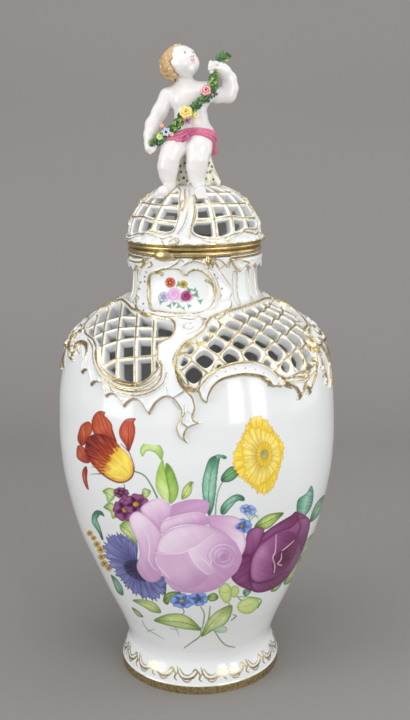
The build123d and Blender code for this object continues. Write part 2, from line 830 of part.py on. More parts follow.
BLOSSOM_SHARES = {
    "red_rose": (0.10, -0.20, 0.675, 1.1),
    "yellow_rose": (-0.045, -0.22, 0.52, 1.25),
    "purple_blossom": (-0.115, -0.215, 0.445, 0.85),
    "blue_blossom": (-0.19, -0.225, 0.405, 1.0),
}
PETALS = 5
for name, (x, y, z, size_share) in BLOSSOM_SHARES.items():
    radius = BLOSSOM_RADIUS * size_share
    with BuildPart() as blossom:
        with BuildSketch(Plane(origin=on_figure(x, y, z), x_dir=(1, 0, 0), z_dir=(0, -1, 0))):
            with PolarLocations(radius / 2, PETALS):
                Circle(radius / 2)
        extrude(amount=PETAL_THICKNESS, taper=-20)
        with BuildSketch(Plane(origin=on_figure(x, y, z) - Vector(0, PETAL_THICKNESS, 0), z_dir=(0, -1, 0))):
            with PolarLocations(radius / 3.4, PETALS, start_angle=36):
                Circle(radius / 3)
        extrude(amount=PETAL_THICKNESS)
        with Locations(on_figure(x, y, z) - Vector(0, 2 * PETAL_THICKNESS, 0)):
            Sphere(radius / 3)
        with BuildSketch(Plane(origin=on_figure(x, y, z), z_dir=(0, -1, 0))):
            Circle(VINE_RADIUS)
        extrude(amount=-radius)
        add(garland.part, mode=Mode.SUBTRACT)
    with BuildPart() as whole_blossom:
        add(blossom.part.solids().sort_by(SortBy.VOLUME)[-1])
    finish(whole_blossom, name)
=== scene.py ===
"""Looks of the porcelain potpourri vase: glaze, pierced walls, painted flowers, gilding and the putto."""

import copy
import math

import bpy
import numpy as np
import openvdb
from mathutils import Matrix, Vector


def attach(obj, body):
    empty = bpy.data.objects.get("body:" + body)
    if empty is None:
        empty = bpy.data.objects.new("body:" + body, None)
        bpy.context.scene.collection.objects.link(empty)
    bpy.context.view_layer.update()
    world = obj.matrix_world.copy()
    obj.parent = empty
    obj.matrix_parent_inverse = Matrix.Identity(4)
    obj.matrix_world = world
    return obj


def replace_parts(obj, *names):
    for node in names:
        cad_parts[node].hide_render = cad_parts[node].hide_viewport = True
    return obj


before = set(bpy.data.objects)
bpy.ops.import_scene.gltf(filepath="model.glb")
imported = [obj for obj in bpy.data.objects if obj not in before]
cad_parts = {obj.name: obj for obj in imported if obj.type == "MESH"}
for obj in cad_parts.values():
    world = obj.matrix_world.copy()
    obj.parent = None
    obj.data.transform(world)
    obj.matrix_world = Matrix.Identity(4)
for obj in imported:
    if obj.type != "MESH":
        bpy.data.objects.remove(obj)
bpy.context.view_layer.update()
MM = 0.001
GOLDEN_ANGLE = 2.399963  # radians between neighbours of a spiral

# Camera: the photograph's viewpoint, in millimetres and degrees
CAMERA_AWAY = 792.0
CAMERA_HEIGHT = 433.6
CAMERA_ANGLES = tuple(math.radians(v) for v in (12.55, 0.516, 0.707))  # down, yaw and roll
PICTURE_WIDTH, PICTURE_HEIGHT = 410, 720
FOCAL_PIXELS = 1011.0
SENSOR_HEIGHT = 24.0


def add_camera():
    data = bpy.data.cameras.new("camera")
    data.sensor_fit = "VERTICAL"
    data.sensor_height = SENSOR_HEIGHT
    data.lens = FOCAL_PIXELS / PICTURE_HEIGHT * SENSOR_HEIGHT
    camera = bpy.data.objects.new("camera", data)
    bpy.context.scene.collection.objects.link(camera)
    down, yaw, roll = CAMERA_ANGLES
    forward = Vector((math.sin(yaw) * math.cos(down), math.cos(yaw) * math.cos(down), -math.sin(down)))
    turn = forward.to_track_quat("-Z", "Y").to_matrix().to_4x4()
    camera.matrix_world = turn @ Matrix.Rotation(-roll, 4, "Z")
    camera.location = (0, -CAMERA_AWAY * MM, CAMERA_HEIGHT * MM)
    bpy.context.scene.camera = camera


def seen_at(points):
    """Picture coordinates of points in millimetres, seen by the camera above."""
    down, yaw, roll = CAMERA_ANGLES
    x, y, z = points[..., 0], points[..., 1] + CAMERA_AWAY, points[..., 2] - CAMERA_HEIGHT
    side = x * math.cos(yaw) - y * math.sin(yaw)
    away = x * math.sin(yaw) + y * math.cos(yaw)
    depth = away * math.cos(down) - z * math.sin(down)
    up = away * math.sin(down) + z * math.cos(down)
    u, v = FOCAL_PIXELS * side / depth, -FOCAL_PIXELS * up / depth
    across = u * math.cos(roll) + v * math.sin(roll)
    below = -u * math.sin(roll) + v * math.cos(roll)
    return PICTURE_WIDTH / 2 + across, PICTURE_HEIGHT / 2 + below


# Materials
def linear(colour):
    c = np.asarray(colour, float) / 255.0
    return np.where(c <= 0.04045, c / 12.92, ((c + 0.055) / 1.055) ** 2.4)


class Nodes:
    """Short names for making a node material."""

    def __init__(self, name):
        self.material = bpy.data.materials.new(name)
        self.material.use_nodes = True
        self.tree = self.material.node_tree
        self.tree.nodes.clear()
        self.out = self.add("ShaderNodeOutputMaterial")

    def add(self, kind, **values):
        node = self.tree.nodes.new(kind)
        for key, value in values.items():
            if hasattr(node, key):
                setattr(node, key, value)
            else:
                node.inputs[key.replace("_", " ")].default_value = value
        return node

    def link(self, a, b):
        self.tree.links.new(a, b)

    def noise(self, scale, detail=3.0):
        where = self.add("ShaderNodeNewGeometry")
        node = self.add("ShaderNodeTexNoise", Scale=scale, Detail=detail)
        self.link(where.outputs["Position"], node.inputs["Vector"])
        return node.outputs["Fac"]

    def span(self, value, low, high):
        node = self.add("ShaderNodeMapRange")
        self.link(value, node.inputs["Value"])
        node.inputs["To Min"].default_value = low
        node.inputs["To Max"].default_value = high
        return node.outputs["Result"]

    def mix(self, factor, a, b):
        node = self.add("ShaderNodeMix", data_type="RGBA")
        for value, socket in ((factor, node.inputs[0]), (a, node.inputs[6]), (b, node.inputs[7])):
            if isinstance(value, (int, float)):
                socket.default_value = value
            elif isinstance(value, tuple):
                socket.default_value = (*linear(value), 1)
            else:
                self.link(value, socket)
        return node.outputs[2]

    def blend(self, factor, a, b):
        node = self.add("ShaderNodeMix", data_type="FLOAT")
        for value, socket in ((factor, node.inputs[0]), (a, node.inputs[2]), (b, node.inputs[3])):
            if isinstance(value, (int, float)):
                socket.default_value = value
            else:
                self.link(value, socket)
        return node.outputs[0]

    def attribute(self, name):
        return self.add("ShaderNodeAttribute", attribute_name=name)

    def bump(self, height, strength, distance):
        node = self.add("ShaderNodeBump", Strength=strength, Distance=distance)
        self.link(height, node.inputs["Height"])
        return node.outputs["Normal"]

    def shader(self, **values):
        node = self.add("ShaderNodeBsdfPrincipled")
        for key, value in values.items():
            socket = node.inputs[key.replace("_", " ")]
            if hasattr(value, "links") or hasattr(value, "is_linked"):
                self.link(value, socket)
            else:
                socket.default_value = value
        self.link(node.outputs[0], self.out.inputs[0])
        return node


WHITE = (229, 230, 228)
GOLD_LIGHT, GOLD_DARK = (234, 214, 162), (146, 124, 76)


def glaze_material():
    """Glazed porcelain, with painted enamel and burnished gilding where the mesh carries them."""
    n = Nodes("glazed_porcelain")
    paint = n.attribute("paint").outputs["Color"]
    gold = n.attribute("gold").outputs["Fac"]
    tone = n.mix(n.span(n.noise(35.0), 0.0, 1.0), (255, 255, 255), (249, 249, 250))
    body = n.add("ShaderNodeMix", data_type="RGBA", blend_type="MULTIPLY")
    body.inputs[0].default_value = 1.0
    n.link(paint, body.inputs[6])
    n.link(tone, body.inputs[7])
    gilt = n.mix(n.span(n.noise(420.0, 5.0), -0.4, 1.4), GOLD_DARK, GOLD_LIGHT)
    colour = n.mix(gold, body.outputs[2], gilt)
    rough = n.blend(gold, n.span(n.noise(60.0), 0.06, 0.16), n.span(n.noise(300.0), 0.22, 0.42))
    normal = n.bump(n.noise(90.0, 2.0), 0.08, 0.0006)
    n.shader(Base_Color=colour, Metallic=gold, Roughness=rough, Normal=normal, IOR=PORCELAIN_IOR)
    return n.material


RIM_GOLDS = (178, 156, 104), (230, 212, 162)
PORCELAIN_IOR = 1.52


def gilding_material():
    n = Nodes("gilding")
    colour = n.mix(n.span(n.noise(260.0, 5.0), -0.3, 1.3), *RIM_GOLDS)
    rough = n.span(n.noise(180.0), 0.2, 0.4)
    normal = n.bump(n.noise(500.0, 3.0), 0.15, 0.0002)
    n.shader(Base_Color=colour, Metallic=1.0, Roughness=rough, Normal=normal)
    return n.material


def plain_porcelain_material():
    """Glazed white porcelain without paint."""
    n = Nodes("plain_porcelain")
    colour = n.mix(n.span(n.noise(35.0), 0.0, 1.0), WHITE, (226, 228, 229))
    rough = n.span(n.noise(60.0), 0.06, 0.16)
    n.shader(Base_Color=colour, Roughness=rough, Normal=n.bump(n.noise(90.0, 2.0), 0.08, 0.0006),
             IOR=PORCELAIN_IOR)
    return n.material


GLAZE = glaze_material()
GILDING = gilding_material()


def mesh_object(name, points, faces, body, material, paint=None, gold=None, smooth=True):
    """An object from points in millimetres and faces, with its painted colours and gilding."""
    points = np.asarray(points, np.float64).reshape(-1, 3)
    mesh = bpy.data.meshes.new(name)
    if isinstance(faces, np.ndarray):
        count, sides = faces.shape
        mesh.vertices.add(len(points))
        mesh.vertices.foreach_set("co", (points * MM).ravel())
        mesh.loops.add(count * sides)
        mesh.loops.foreach_set("vertex_index", faces.ravel().astype(np.int32))
        mesh.polygons.add(count)
        mesh.polygons.foreach_set("loop_start", np.arange(0, count * sides, sides, dtype=np.int32))
        mesh.update(calc_edges=True)
    else:
        mesh.from_pydata([tuple(p) for p in points * MM], [], faces)
    mesh.validate()
    if smooth:
        mesh.shade_smooth()
    if paint is not None:
        layer = mesh.attributes.new("paint", "FLOAT_COLOR", "POINT")
        flat = np.ones((len(points), 4), np.float32)
        flat[:, :3] = linear(np.asarray(paint, float).reshape(-1, 3))
        layer.data.foreach_set("color", flat.ravel())
    if gold is not None:
        layer = mesh.attributes.new("gold", "FLOAT", "POINT")
        layer.data.foreach_set("value", np.asarray(gold, np.float32).ravel())
    mesh.materials.append(material)
    obj = bpy.data.objects.new(name, mesh)
    bpy.context.scene.collection.objects.link(obj)
    if body:
        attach(obj, body)
    return obj


def grid_faces(rows, columns, wrap, start=0):
    """Quads of a grid of rows and columns, closed along each row when wrap is true."""
    i = np.arange(rows - 1)[:, None] * columns
    last = columns if wrap else columns - 1
    j = np.arange(last)[None, :]
    k = (j + 1) % columns
    quads = np.stack([i + j, i + k, i + columns + k, i + columns + j], -1)
    return quads.reshape(-1, 4) + start


# Painting: colours laid on the vertices of a surface, in flat coordinates
def curve(points, closed=False, steps=6):
    """A smooth line through points."""
    p = np.asarray(points, float)
    if closed:
        p = np.vstack([p[-1:], p, p[:2]])
    else:
        p = np.vstack([2 * p[:1] - p[1:2], p, 2 * p[-1:] - p[-2:-1]])
    t = np.linspace(0, 1, steps, endpoint=False)[:, None]
    out = []
    for a, b, c, d in zip(p[:-3], p[1:-2], p[2:-1], p[3:]):
        out.append(0.5 * (2 * b + (c - a) * t + (2 * a - 5 * b + 4 * c - d) * t**2 + (3 * b - a - 3 * c + d)
                          * t**3))
    line = np.vstack(out)
    return line if closed else np.vstack([line, p[-2:-1]])


def step(low, high, value):
    t = np.clip((value - low) / (high - low), 0, 1)
    return t * t * (3 - 2 * t)


def lattice_noise(x, y, seed=0):
    """Smooth noise from 0 to 1."""
    i, j = np.floor(x), np.floor(y)
    fx, fy = x - i, y - j
    fx, fy = fx * fx * (3 - 2 * fx), fy * fy * (3 - 2 * fy)

    def corner(a, b):
        h = np.sin(a * 127.1 + b * 311.7 + seed * 74.7) * 43758.5453
        return h - np.floor(h)

    top = corner(i, j) * (1 - fx) + corner(i + 1, j) * fx
    low = corner(i, j + 1) * (1 - fx) + corner(i + 1, j + 1) * fx
    return top * (1 - fy) + low * fy


def line_distance(x, y, line, closed=False):
    """Distance from places to a line, how far along it each lies from 0 to 1, and the side it lies on."""
    ends = np.roll(line, -1, 0) if closed else line[1:]
    starts = line if closed else line[:-1]
    lengths = np.maximum(np.hypot(*(ends - starts).T), 1e-9)
    before = np.concatenate([[0], np.cumsum(lengths)[:-1]])
    best = np.full(x.shape, 1e9)
    along, side = np.zeros(x.shape), np.zeros(x.shape)
    for (ax, ay), (bx, by), length, ahead in zip(starts, ends, lengths, before):
        dx, dy = (bx - ax) / length, (by - ay) / length
        t = np.clip((x - ax) * dx + (y - ay) * dy, 0, length)
        gap = np.hypot(x - ax - t * dx, y - ay - t * dy)
        better = gap < best
        best = np.where(better, gap, best)
        along = np.where(better, ahead + t, along)
        side = np.where(better, (x - ax) * dy - (y - ay) * dx, side)
    return best, along / lengths.sum(), side


def inside(x, y, line):
    odd = np.zeros(x.shape, bool)
    for (ax, ay), (bx, by) in zip(line, np.roll(line, -1, 0)):
        if ay != by:
            odd ^= ((ay > y) != (by > y)) & (x < (bx - ax) * (y - ay) / (by - ay) + ax)
    return odd


def signed(x, y, line):
    """Distance to a closed line, positive inside it."""
    gap = line_distance(x, y, line, True)[0]
    return np.where(inside(x, y, line), gap, -gap)


def plain(colour, count):
    return np.tile(np.array(colour, float), (count, 1))


class Canvas:
    """The painted colour and gilding of places on a surface, laid on in flat coordinates."""

    def __init__(self, x, y, usable=None, soft=4.0):
        self.x, self.y = np.asarray(x, float).ravel(), np.asarray(y, float).ravel()
        self.usable = np.ones(self.x.shape, bool) if usable is None else usable.ravel()
        self.colour = plain(WHITE, len(self.x))
        self.gold = np.zeros(len(self.x))
        self.soft = soft

    def near(self, line, margin):
        low, high = line.min(0) - margin, line.max(0) + margin
        keep = (self.x > low[0]) & (self.x < high[0]) & (self.y > low[1]) & (self.y < high[1])
        return np.flatnonzero(keep & self.usable)

    def lay(self, where, alpha, colour):
        a = alpha[:, None]
        self.colour[where] = self.colour[where] * (1 - a) + np.asarray(colour, float) * a

    def shape(self, outline, colours, start, end, rim=None, rim_width=14.0, streaks=0.0, fan=None, seed=1,
              alpha=1.0, grain=9.0):
        """A filled outline whose colour runs from start to end, with a rim colour and brush streaks."""
        line = curve(outline, True)
        w = self.near(line, self.soft * 2)
        if not len(w):
            return
        x, y = self.x[w], self.y[w]
        gap = signed(x, y, line)
        ax, ay = np.subtract(end, start)
        size = ax * ax + ay * ay
        t = np.clip(((x - start[0]) * ax + (y - start[1]) * ay) / size, 0, 1)
        shades = np.asarray(colours, float)
        places = np.linspace(0, 1, len(shades))
        colour = np.stack([np.interp(t, places, shades[:, k]) for k in range(3)], -1)
        if streaks:
            if fan is None:
                reach = math.sqrt(size)
                across = ((x - start[0]) * ay - (y - start[1]) * ax) / reach
                ahead = t * reach
            else:
                across = (np.arctan2(y - fan[1], x - fan[0]) * np.hypot(*np.subtract(start, fan)).clip(60,
                                                                                                       400))
                ahead = np.hypot(x - fan[0], y - fan[1])
            fine = lattice_noise(across / grain, ahead / (grain * 9), seed)
            fine += 0.6 * lattice_noise(across / (grain * 0.45), ahead / (grain * 5), seed + 3)
            colour = colour + (fine[:, None] - 0.8) * streaks
        if rim is not None:
            edge = np.exp(-np.maximum(gap, 0) / rim_width)[:, None]
            colour = colour * (1 - edge) + np.asarray(rim, float) * edge
        self.lay(w, step(-self.soft / 2, self.soft / 2, gap) * alpha, np.clip(colour, 0, 255))

    def stroke(self, points, widths, colour, alpha=1.0):
        """A brush line whose half width runs through widths."""
        line = curve(points)
        w = self.near(line, max(widths) + self.soft * 2)
        if not len(w):
            return
        gap, along, _ = line_distance(self.x[w], self.y[w], line)
        half = np.interp(along, np.linspace(0, 1, len(widths)), widths)
        self.lay(w, step(self.soft / 2, -self.soft / 2, gap - half) * alpha, colour)

    def glow(self, centre, radius, colour, alpha=0.7):
        """A soft round wash."""
        line = np.array([centre, centre], float)
        w = self.near(line, radius)
        far = np.hypot(self.x[w] - centre[0], self.y[w] - centre[1]) / radius
        self.lay(w, np.clip(1 - far, 0, 1) ** 1.5 * alpha, colour)

    def leaf(self, outline, rib, light, dark, veins=4, seed=2, rim=None):
        """A leaf with its outline, a middle rib from stalk to tip, and veins."""
        rim = rim if rim is not None else tuple(np.multiply(dark, 0.8))
        self.shape(outline, (dark, light, light, dark), rib[0], rib[-1], rim, 7.0, 26.0, seed=seed,
                   grain=7.0)
        self.stroke(rib, (2.6, 1.6, 0.8), tuple(np.multiply(dark, 0.72)), 0.8)
        line = curve(rib)
        reach = np.hypot(*(line[-1] - line[0])) * 0.26
        for share in np.linspace(0.2, 0.82, veins):
            k = int(share * (len(line) - 1))
            ahead = line[min(k + 2, len(line) - 1)] - line[max(k - 2, 0)]
            ahead = ahead / max(np.hypot(*ahead), 1e-6)
            for turn in (-1, 1):
                out = np.array([ahead[0] - turn * ahead[1] * 0.9, ahead[1] + turn * ahead[0] * 0.9])
                tip = line[k] + out * reach * (1.05 - share) * 0.8
                self.stroke((line[k], (line[k] + tip) / 2 + ahead * 2, tip), (1.2, 0.9, 0.4),
                            tuple(np.multiply(dark, 0.85)), 0.45)

    def blossom(self, centre, radius, petals, light, dark, heart, squash=1.0, turn=0.0, seed=5):
        """A small flower seen at a slant."""
        tilt = math.radians(turn)
        c, s = math.cos(tilt), math.sin(tilt)

        def at(angle, reach):
            u, v = math.cos(angle) * reach, math.sin(angle) * reach * squash
            return (centre[0] + u * c - v * s, centre[1] + u * s + v * c)

        ring = [at(a, radius * 0.72) for a in np.linspace(0, 2 * math.pi, 13)[:-1]]
        self.shape(ring, (tuple(np.multiply(dark, 0.85)), light), at(0, 0), at(0, radius), None, 4.0)
        for k in range(petals):
            a = 2 * math.pi * k / petals + seed * 0.7
            half = math.pi / petals * 1.08
            ring = [at(a, radius * 0.12)]
            for share, reach in ((-0.55, 0.5), (-0.95, 0.8), (-0.55, 1.0), (0.0, 0.94), (0.55, 1.0),
                                 (0.95, 0.8), (0.55, 0.5)):
                ring.append(at(a + half * share, radius * reach))
            self.shape(ring, (dark, light, light), at(a, radius * 0.15), at(a, radius),
                       tuple(np.multiply(dark, 0.85)), 4.0, 22.0, seed=seed + k, grain=5.0)
        ring = [at(a, radius * 0.24) for a in np.linspace(0, 2 * math.pi, 9)[:-1]]
        self.shape(ring, heart, at(0, radius * -0.2), at(0, radius * 0.2),
                   tuple(np.multiply(heart[0], 0.5)), 3.0)


# The bouquet on the belly, in steps of a drawing grid laid over the picture
BOUQUET_LEFT, BOUQUET_TOP, BOUQUET_STEPS = 80.0, 395.0, 6.149  # steps to a picture pixel
TEAL, TEAL_DARK = (158, 204, 178), (62, 118, 92)
PINK, PINK_LIGHT, PINK_DARK = (224, 192, 218), (240, 222, 236), (198, 152, 192)
PURPLE, PURPLE_DARK = (138, 70, 122), (84, 26, 66)
YELLOW, YELLOW_LIGHT, YELLOW_DARK = (238, 206, 70), (248, 230, 130), (206, 158, 40)
SKY, SKY_DARK = (142, 172, 226), (84, 112, 190)


def paint_leaves(c):
    c.stroke(((332, 468), (395, 495), (440, 560), (475, 630)), (4, 4, 5), (92, 124, 84))
    c.shape(((370, 335), (400, 292), (450, 280), (490, 308), (512, 352), (502, 402), (478, 372), (448, 348),
             (410, 345), (384, 378)),
            ((200, 220, 140), (214, 230, 160), (150, 190, 84)), (370, 340), (505, 395), (110, 150, 60), 6,
            22, seed=4)
    c.shape(((505, 398), (474, 470), (466, 560), (500, 628), (550, 668), (552, 590), (532, 500),
             (512, 430)),
            ((170, 204, 100), (196, 218, 130), (214, 228, 160)), (470, 480), (560, 600), (130, 168, 66), 6,
            24, seed=5)
    c.shape(((528, 420), (560, 442), (588, 500), (606, 575), (592, 636), (550, 670), (546, 590),
             (528, 500)),
            ((128, 168, 70), (176, 206, 110)), (590, 500), (540, 560), (96, 134, 52), 7, 26, seed=6)
    c.stroke(((508, 400), (524, 470), (544, 560), (550, 664)), (2.5, 2, 1.5), (104, 144, 58), 0.8)
    c.leaf(((624, 640), (630, 584), (652, 552), (684, 530), (690, 562), (684, 602), (660, 630)),
           ((628, 640), (655, 590), (686, 534)), (208, 222, 140), (150, 180, 84), 2)
    c.stroke(((676, 560), (690, 536), (700, 548)), (2, 3, 2), (88, 120, 70))
    c.leaf(((790, 740), (758, 640), (752, 540), (772, 450), (794, 395), (830, 372), (862, 372), (852, 440),
            (842, 520), (834, 610), (818, 700)),
           ((800, 735), (790, 600), (806, 480), (840, 380)), TEAL, TEAL_DARK, 5)
    c.shape(((838, 372), (880, 368), (904, 384), (886, 396), (862, 384), (846, 400)), (TEAL, TEAL_DARK),
            (840, 380), (900, 385), TEAL_DARK, 4)
    c.stroke(((832, 735), (840, 640), (862, 560), (905, 500)), (4.5, 3.5, 3.5), (112, 158, 128))
    c.leaf(((868, 530), (876, 488), (924, 442), (975, 440), (984, 470), (958, 510), (915, 535)),
           ((870, 528), (920, 490), (978, 455)), (116, 168, 120), (54, 104, 66), 4)
    c.leaf(((866, 730), (868, 684), (914, 634), (965, 610), (1008, 626), (1008, 652), (968, 652),
            (930, 690), (892, 732)), ((872, 726), (915, 670), (1004, 632)), TEAL, TEAL_DARK, 4)
    c.leaf(((1072, 812), (1104, 768), (1166, 732), (1252, 724), (1214, 770), (1164, 816), (1110, 830)),
           ((1078, 815), (1160, 775), (1250, 726)), (196, 214, 128), (88, 124, 56), 4)
    c.shape(((1332, 712), (1340, 644), (1392, 604), (1424, 556), (1436, 612), (1424, 684), (1388, 738),
             (1350, 736)), (TEAL_DARK, TEAL, TEAL_DARK), (1330, 660), (1440, 680), TEAL_DARK, 7, 36, seed=8)
    c.leaf(((1412, 782), (1432, 706), (1468, 646), (1508, 614), (1494, 684), (1456, 752)),
           ((1420, 776), (1460, 690), (1504, 618)), (150, 194, 156), TEAL_DARK, 3)
    c.leaf(((112, 842), (76, 790), (74, 742), (98, 710), (134, 716), (150, 748), (124, 738), (106, 762),
            (124, 812), (144, 884), (132, 888)), ((140, 880), (96, 790), (130, 722)), TEAL, TEAL_DARK, 2)
    for outline, tip in ((((140, 590), (180, 570), (222, 592), (206, 640), (172, 660), (160, 620)),
                          (216, 640)),
                         (((146, 690), (184, 660), (226, 690), (234, 740), (200, 760), (186, 720)),
                          (230, 750)),
                         (((380, 610), (392, 574), (434, 588), (426, 616), (392, 644)), (430, 590)),
                         (((246, 800), (292, 764), (330, 812), (352, 880), (344, 920), (292, 870),
                           (254, 836)), (340, 910))):
        c.leaf(outline, (outline[0], tuple(np.mean(outline, 0)), tip), (204, 220, 150), (134, 168, 84), 2)
    for x, y, r in ((60, 850, 20), (84, 880, 18), (104, 918, 22), (128, 952, 24), (132, 996, 22),
                    (150, 1038, 24), (178, 1066, 20)):
        c.blossom((x, y), r, 4, (236, 206, 96), (190, 150, 60), ((150, 120, 40), (120, 90, 30)), 0.9, 20,
                  seed=x)
    c.leaf(((190, 1106), (230, 1134), (262, 1186), (266, 1232), (230, 1214), (206, 1160)),
           ((194, 1110), (232, 1166), (264, 1228)), (150, 190, 160), (84, 134, 104), 3)
    c.leaf(((322, 1262), (392, 1258), (462, 1280), (500, 1338), (440, 1334), (396, 1306)),
           ((330, 1264), (420, 1286), (498, 1336)), (206, 218, 150), (140, 168, 92), 4)
    c.leaf(((318, 1306), (362, 1330), (390, 1366), (350, 1356)), ((320, 1308), (350, 1334), (388, 1364)),
           (190, 206, 150), (130, 150, 92), 2)
    c.leaf(((1340, 1000), (1358, 930), (1400, 880), (1440, 846), (1430, 900), (1396, 960), (1362, 1004)),
           ((1346, 1000), (1390, 920), (1438, 850)), (196, 206, 150), (136, 156, 92), 3)
    c.leaf(((1250, 1160), (1280, 1090), (1318, 1030), (1362, 996), (1350, 1060), (1316, 1126),
            (1280, 1160)), ((1256, 1156), (1300, 1080), (1358, 1000)), (186, 206, 140), (124, 156, 84), 4)
    c.leaf(((1172, 1206), (1196, 1160), (1232, 1136), (1238, 1164), (1206, 1204)),
           ((1178, 1204), (1200, 1176), (1234, 1140)), (176, 200, 130), (112, 146, 70), 2)
    c.leaf(((1002, 1222), (1010, 1196), (1050, 1196), (1048, 1216), (1020, 1238)),
           ((1006, 1222), (1024, 1212), (1048, 1202)), (150, 186, 150), (72, 122, 96), 2)
    for line in (((1050, 770), (1064, 750), (1100, 742)), ((1042, 750), (1072, 736), (1098, 762)),
                 ((1020, 738), (1040, 760), (1052, 800))):
        c.stroke(line, (2, 3, 1.5), (110, 150, 96))


def paint_foot_of_bouquet(c):
    c.leaf(((512, 1270), (520, 1230), (560, 1210), (620, 1212), (600, 1240), (560, 1250), (540, 1290)),
           ((515, 1268), (550, 1236), (612, 1216)), (160, 184, 110), (92, 122, 60), 3)
    c.leaf(((780, 1240), (824, 1216), (852, 1240), (838, 1262), (800, 1268)), ((784, 1242), (814, 1244),
            (846, 1242)), (170, 194, 120), (100, 130, 66), 2)
    c.stroke(((632, 1312), (640, 1336), (622, 1352)), (3, 3, 2), (92, 134, 110))
    for line in (((742, 1302), (764, 1350), (752, 1440)), ((800, 1300), (792, 1370), (770, 1440)),
                 ((916, 1280), (926, 1330), (906, 1392)),
                 ((742, 1430), (740, 1480), (690, 1520), (640, 1556)), ((826, 1450), (868, 1512),
                                                                        (902, 1540), (952, 1552)),
                 ((930, 1386), (960, 1360), (940, 1350)), ((970, 1240), (990, 1262), (1010, 1260))):
        c.stroke(line, (3.5, 4.5, 3), (128, 156, 96))
    for line in (((556, 1436), (580, 1440), (606, 1440)), ((580, 1420), (596, 1446), (610, 1482)),
                 ((410, 1440), (438, 1456), (520, 1502)),
                 ((384, 1386), (400, 1424), (430, 1450)), ((414, 1456), (440, 1444), (458, 1440))):
        c.stroke(line, (2.5, 3, 1.5), (128, 166, 142), 0.8)
    c.leaf(((454, 1384), (536, 1348), (620, 1346), (690, 1380), (744, 1444), (680, 1444), (590, 1430),
            (506, 1408)), ((740, 1440), (640, 1400), (458, 1386)), (204, 218, 146), (118, 150, 76), 6)
    c.leaf(((746, 1486), (776, 1404), (832, 1336), (930, 1290), (930, 1350), (890, 1412), (812, 1452)),
           ((750, 1480), (820, 1392), (926, 1296)), (212, 222, 156), (134, 160, 88), 6)
    c.shape(((826, 1440), (866, 1418), (904, 1432), (894, 1458), (846, 1460)),
            ((170, 200, 176), (208, 220, 190)), (830, 1440), (900, 1440), (120, 160, 130), 4)
    for outline in (((852, 1206), (872, 1164), (908, 1160), (932, 1196), (930, 1252), (900, 1282),
                     (868, 1250)),
                    ((934, 1180), (970, 1176), (978, 1214), (950, 1246), (928, 1226)),
                    ((966, 1306), (990, 1264), (1056, 1246), (1100, 1262), (1094, 1304), (1046, 1344),
                     (990, 1338))):
        middle = np.mean(outline, 0)
        c.shape(outline, ((222, 230, 160), (196, 212, 130)), tuple(middle - 40), tuple(middle + 40),
                (140, 168, 84), 7, 12, seed=9)
        c.stroke((outline[0], tuple(middle), outline[3]), (1.5, 2, 1), (150, 176, 96), 0.6)
    c.stroke(((964, 1240), (1060, 1244), (1114, 1262), (1092, 1308)), (2, 3, 5), (112, 148, 84))
    c.blossom((628, 1266), 76, 5, SKY, SKY_DARK, ((214, 196, 84), (150, 130, 60)), 0.62, 4, seed=1)
    c.blossom((728, 1254), 62, 5, SKY, SKY_DARK, ((120, 110, 70), (80, 76, 60)), 0.72, 0, seed=2)
    c.stroke(((598, 1280), (640, 1290), (672, 1272)), (2, 2, 2), (60, 70, 120), 0.6)


def paint_small_flowers(c):
    c.stroke(((270, 548), (280, 590), (320, 700)), (3, 3, 3), (110, 140, 90))
    purple = ((150, 86, 130), (84, 28, 76))
    c.blossom((254, 602), 50, 5, *purple, ((150, 100, 70), (110, 60, 60)), 0.7, 10, seed=3)
    c.blossom((276, 706), 76, 5, *purple, ((232, 176, 70), (180, 110, 40)), 0.95, 30, seed=6)
    c.blossom((344, 672), 82, 5, *purple, ((232, 176, 70), (180, 110, 40)), 0.82, 0, seed=7)
    c.blossom((1034, 706), 54, 5, (176, 196, 236), (110, 132, 204), ((200, 200, 220), (120, 130, 170)),
              0.62, 10, seed=4)
    c.blossom((1000, 806), 60, 5, SKY, SKY_DARK, ((214, 196, 84), (60, 50, 40)), 0.8, 10, seed=8)
    c.leaf(((470, 1150), (508, 1120), (530, 1170), (524, 1230), (500, 1200)), ((480, 1140), (505, 1170),
            (524, 1226)), (104, 132, 92), (56, 84, 52), 2)


def paint_cornflower(c):
    heart = (352, 1060)
    tips = ((152, 968, 30), (146, 912, 28), (170, 862, 26), (222, 850, 28), (262, 862, 24), (298, 884, 24),
            (330, 910, 22), (176, 1030, 30), (214, 1092, 30),
            (256, 1146, 32), (300, 1196, 32), (352, 1232, 32), (414, 1256, 32), (476, 1262, 30),
            (516, 1226, 30), (528, 1176, 26), (520, 1140, 20))
    for k, (x, y, half) in enumerate(tips):
        ax, ay = x - heart[0], y - heart[1]
        reach = math.hypot(ax, ay)
        nx, ny = -ay / reach, ax / reach
        ring = [heart]
        for out, wide in ((0.45, 0.5), (0.75, 0.95), (0.95, 0.9), (0.92, 0.45), (1.03, 0.2), (0.93, -0.1),
                          (1.0, -0.55), (0.9, -0.95), (0.72, -0.95), (0.45, -0.5)):
            ring.append((heart[0] + ax * out + nx * half * wide, heart[1] + ay * out + ny * half * wide))
        c.shape(ring, ((52, 48, 92), (104, 104, 158), (132, 134, 184)), heart, (x, y), (84, 82, 138), 5, 44,
                seed=20 + k, grain=6.0)
    c.shape(((268, 1040), (300, 1012), (352, 1010), (390, 1060), (420, 1120), (400, 1150), (350, 1138),
             (300, 1110), (276, 1080)), ((38, 34, 66), (60, 56, 96)), (270, 1040), (400, 1120),
            (84, 82, 130), 10, 40, fan=heart, seed=44)


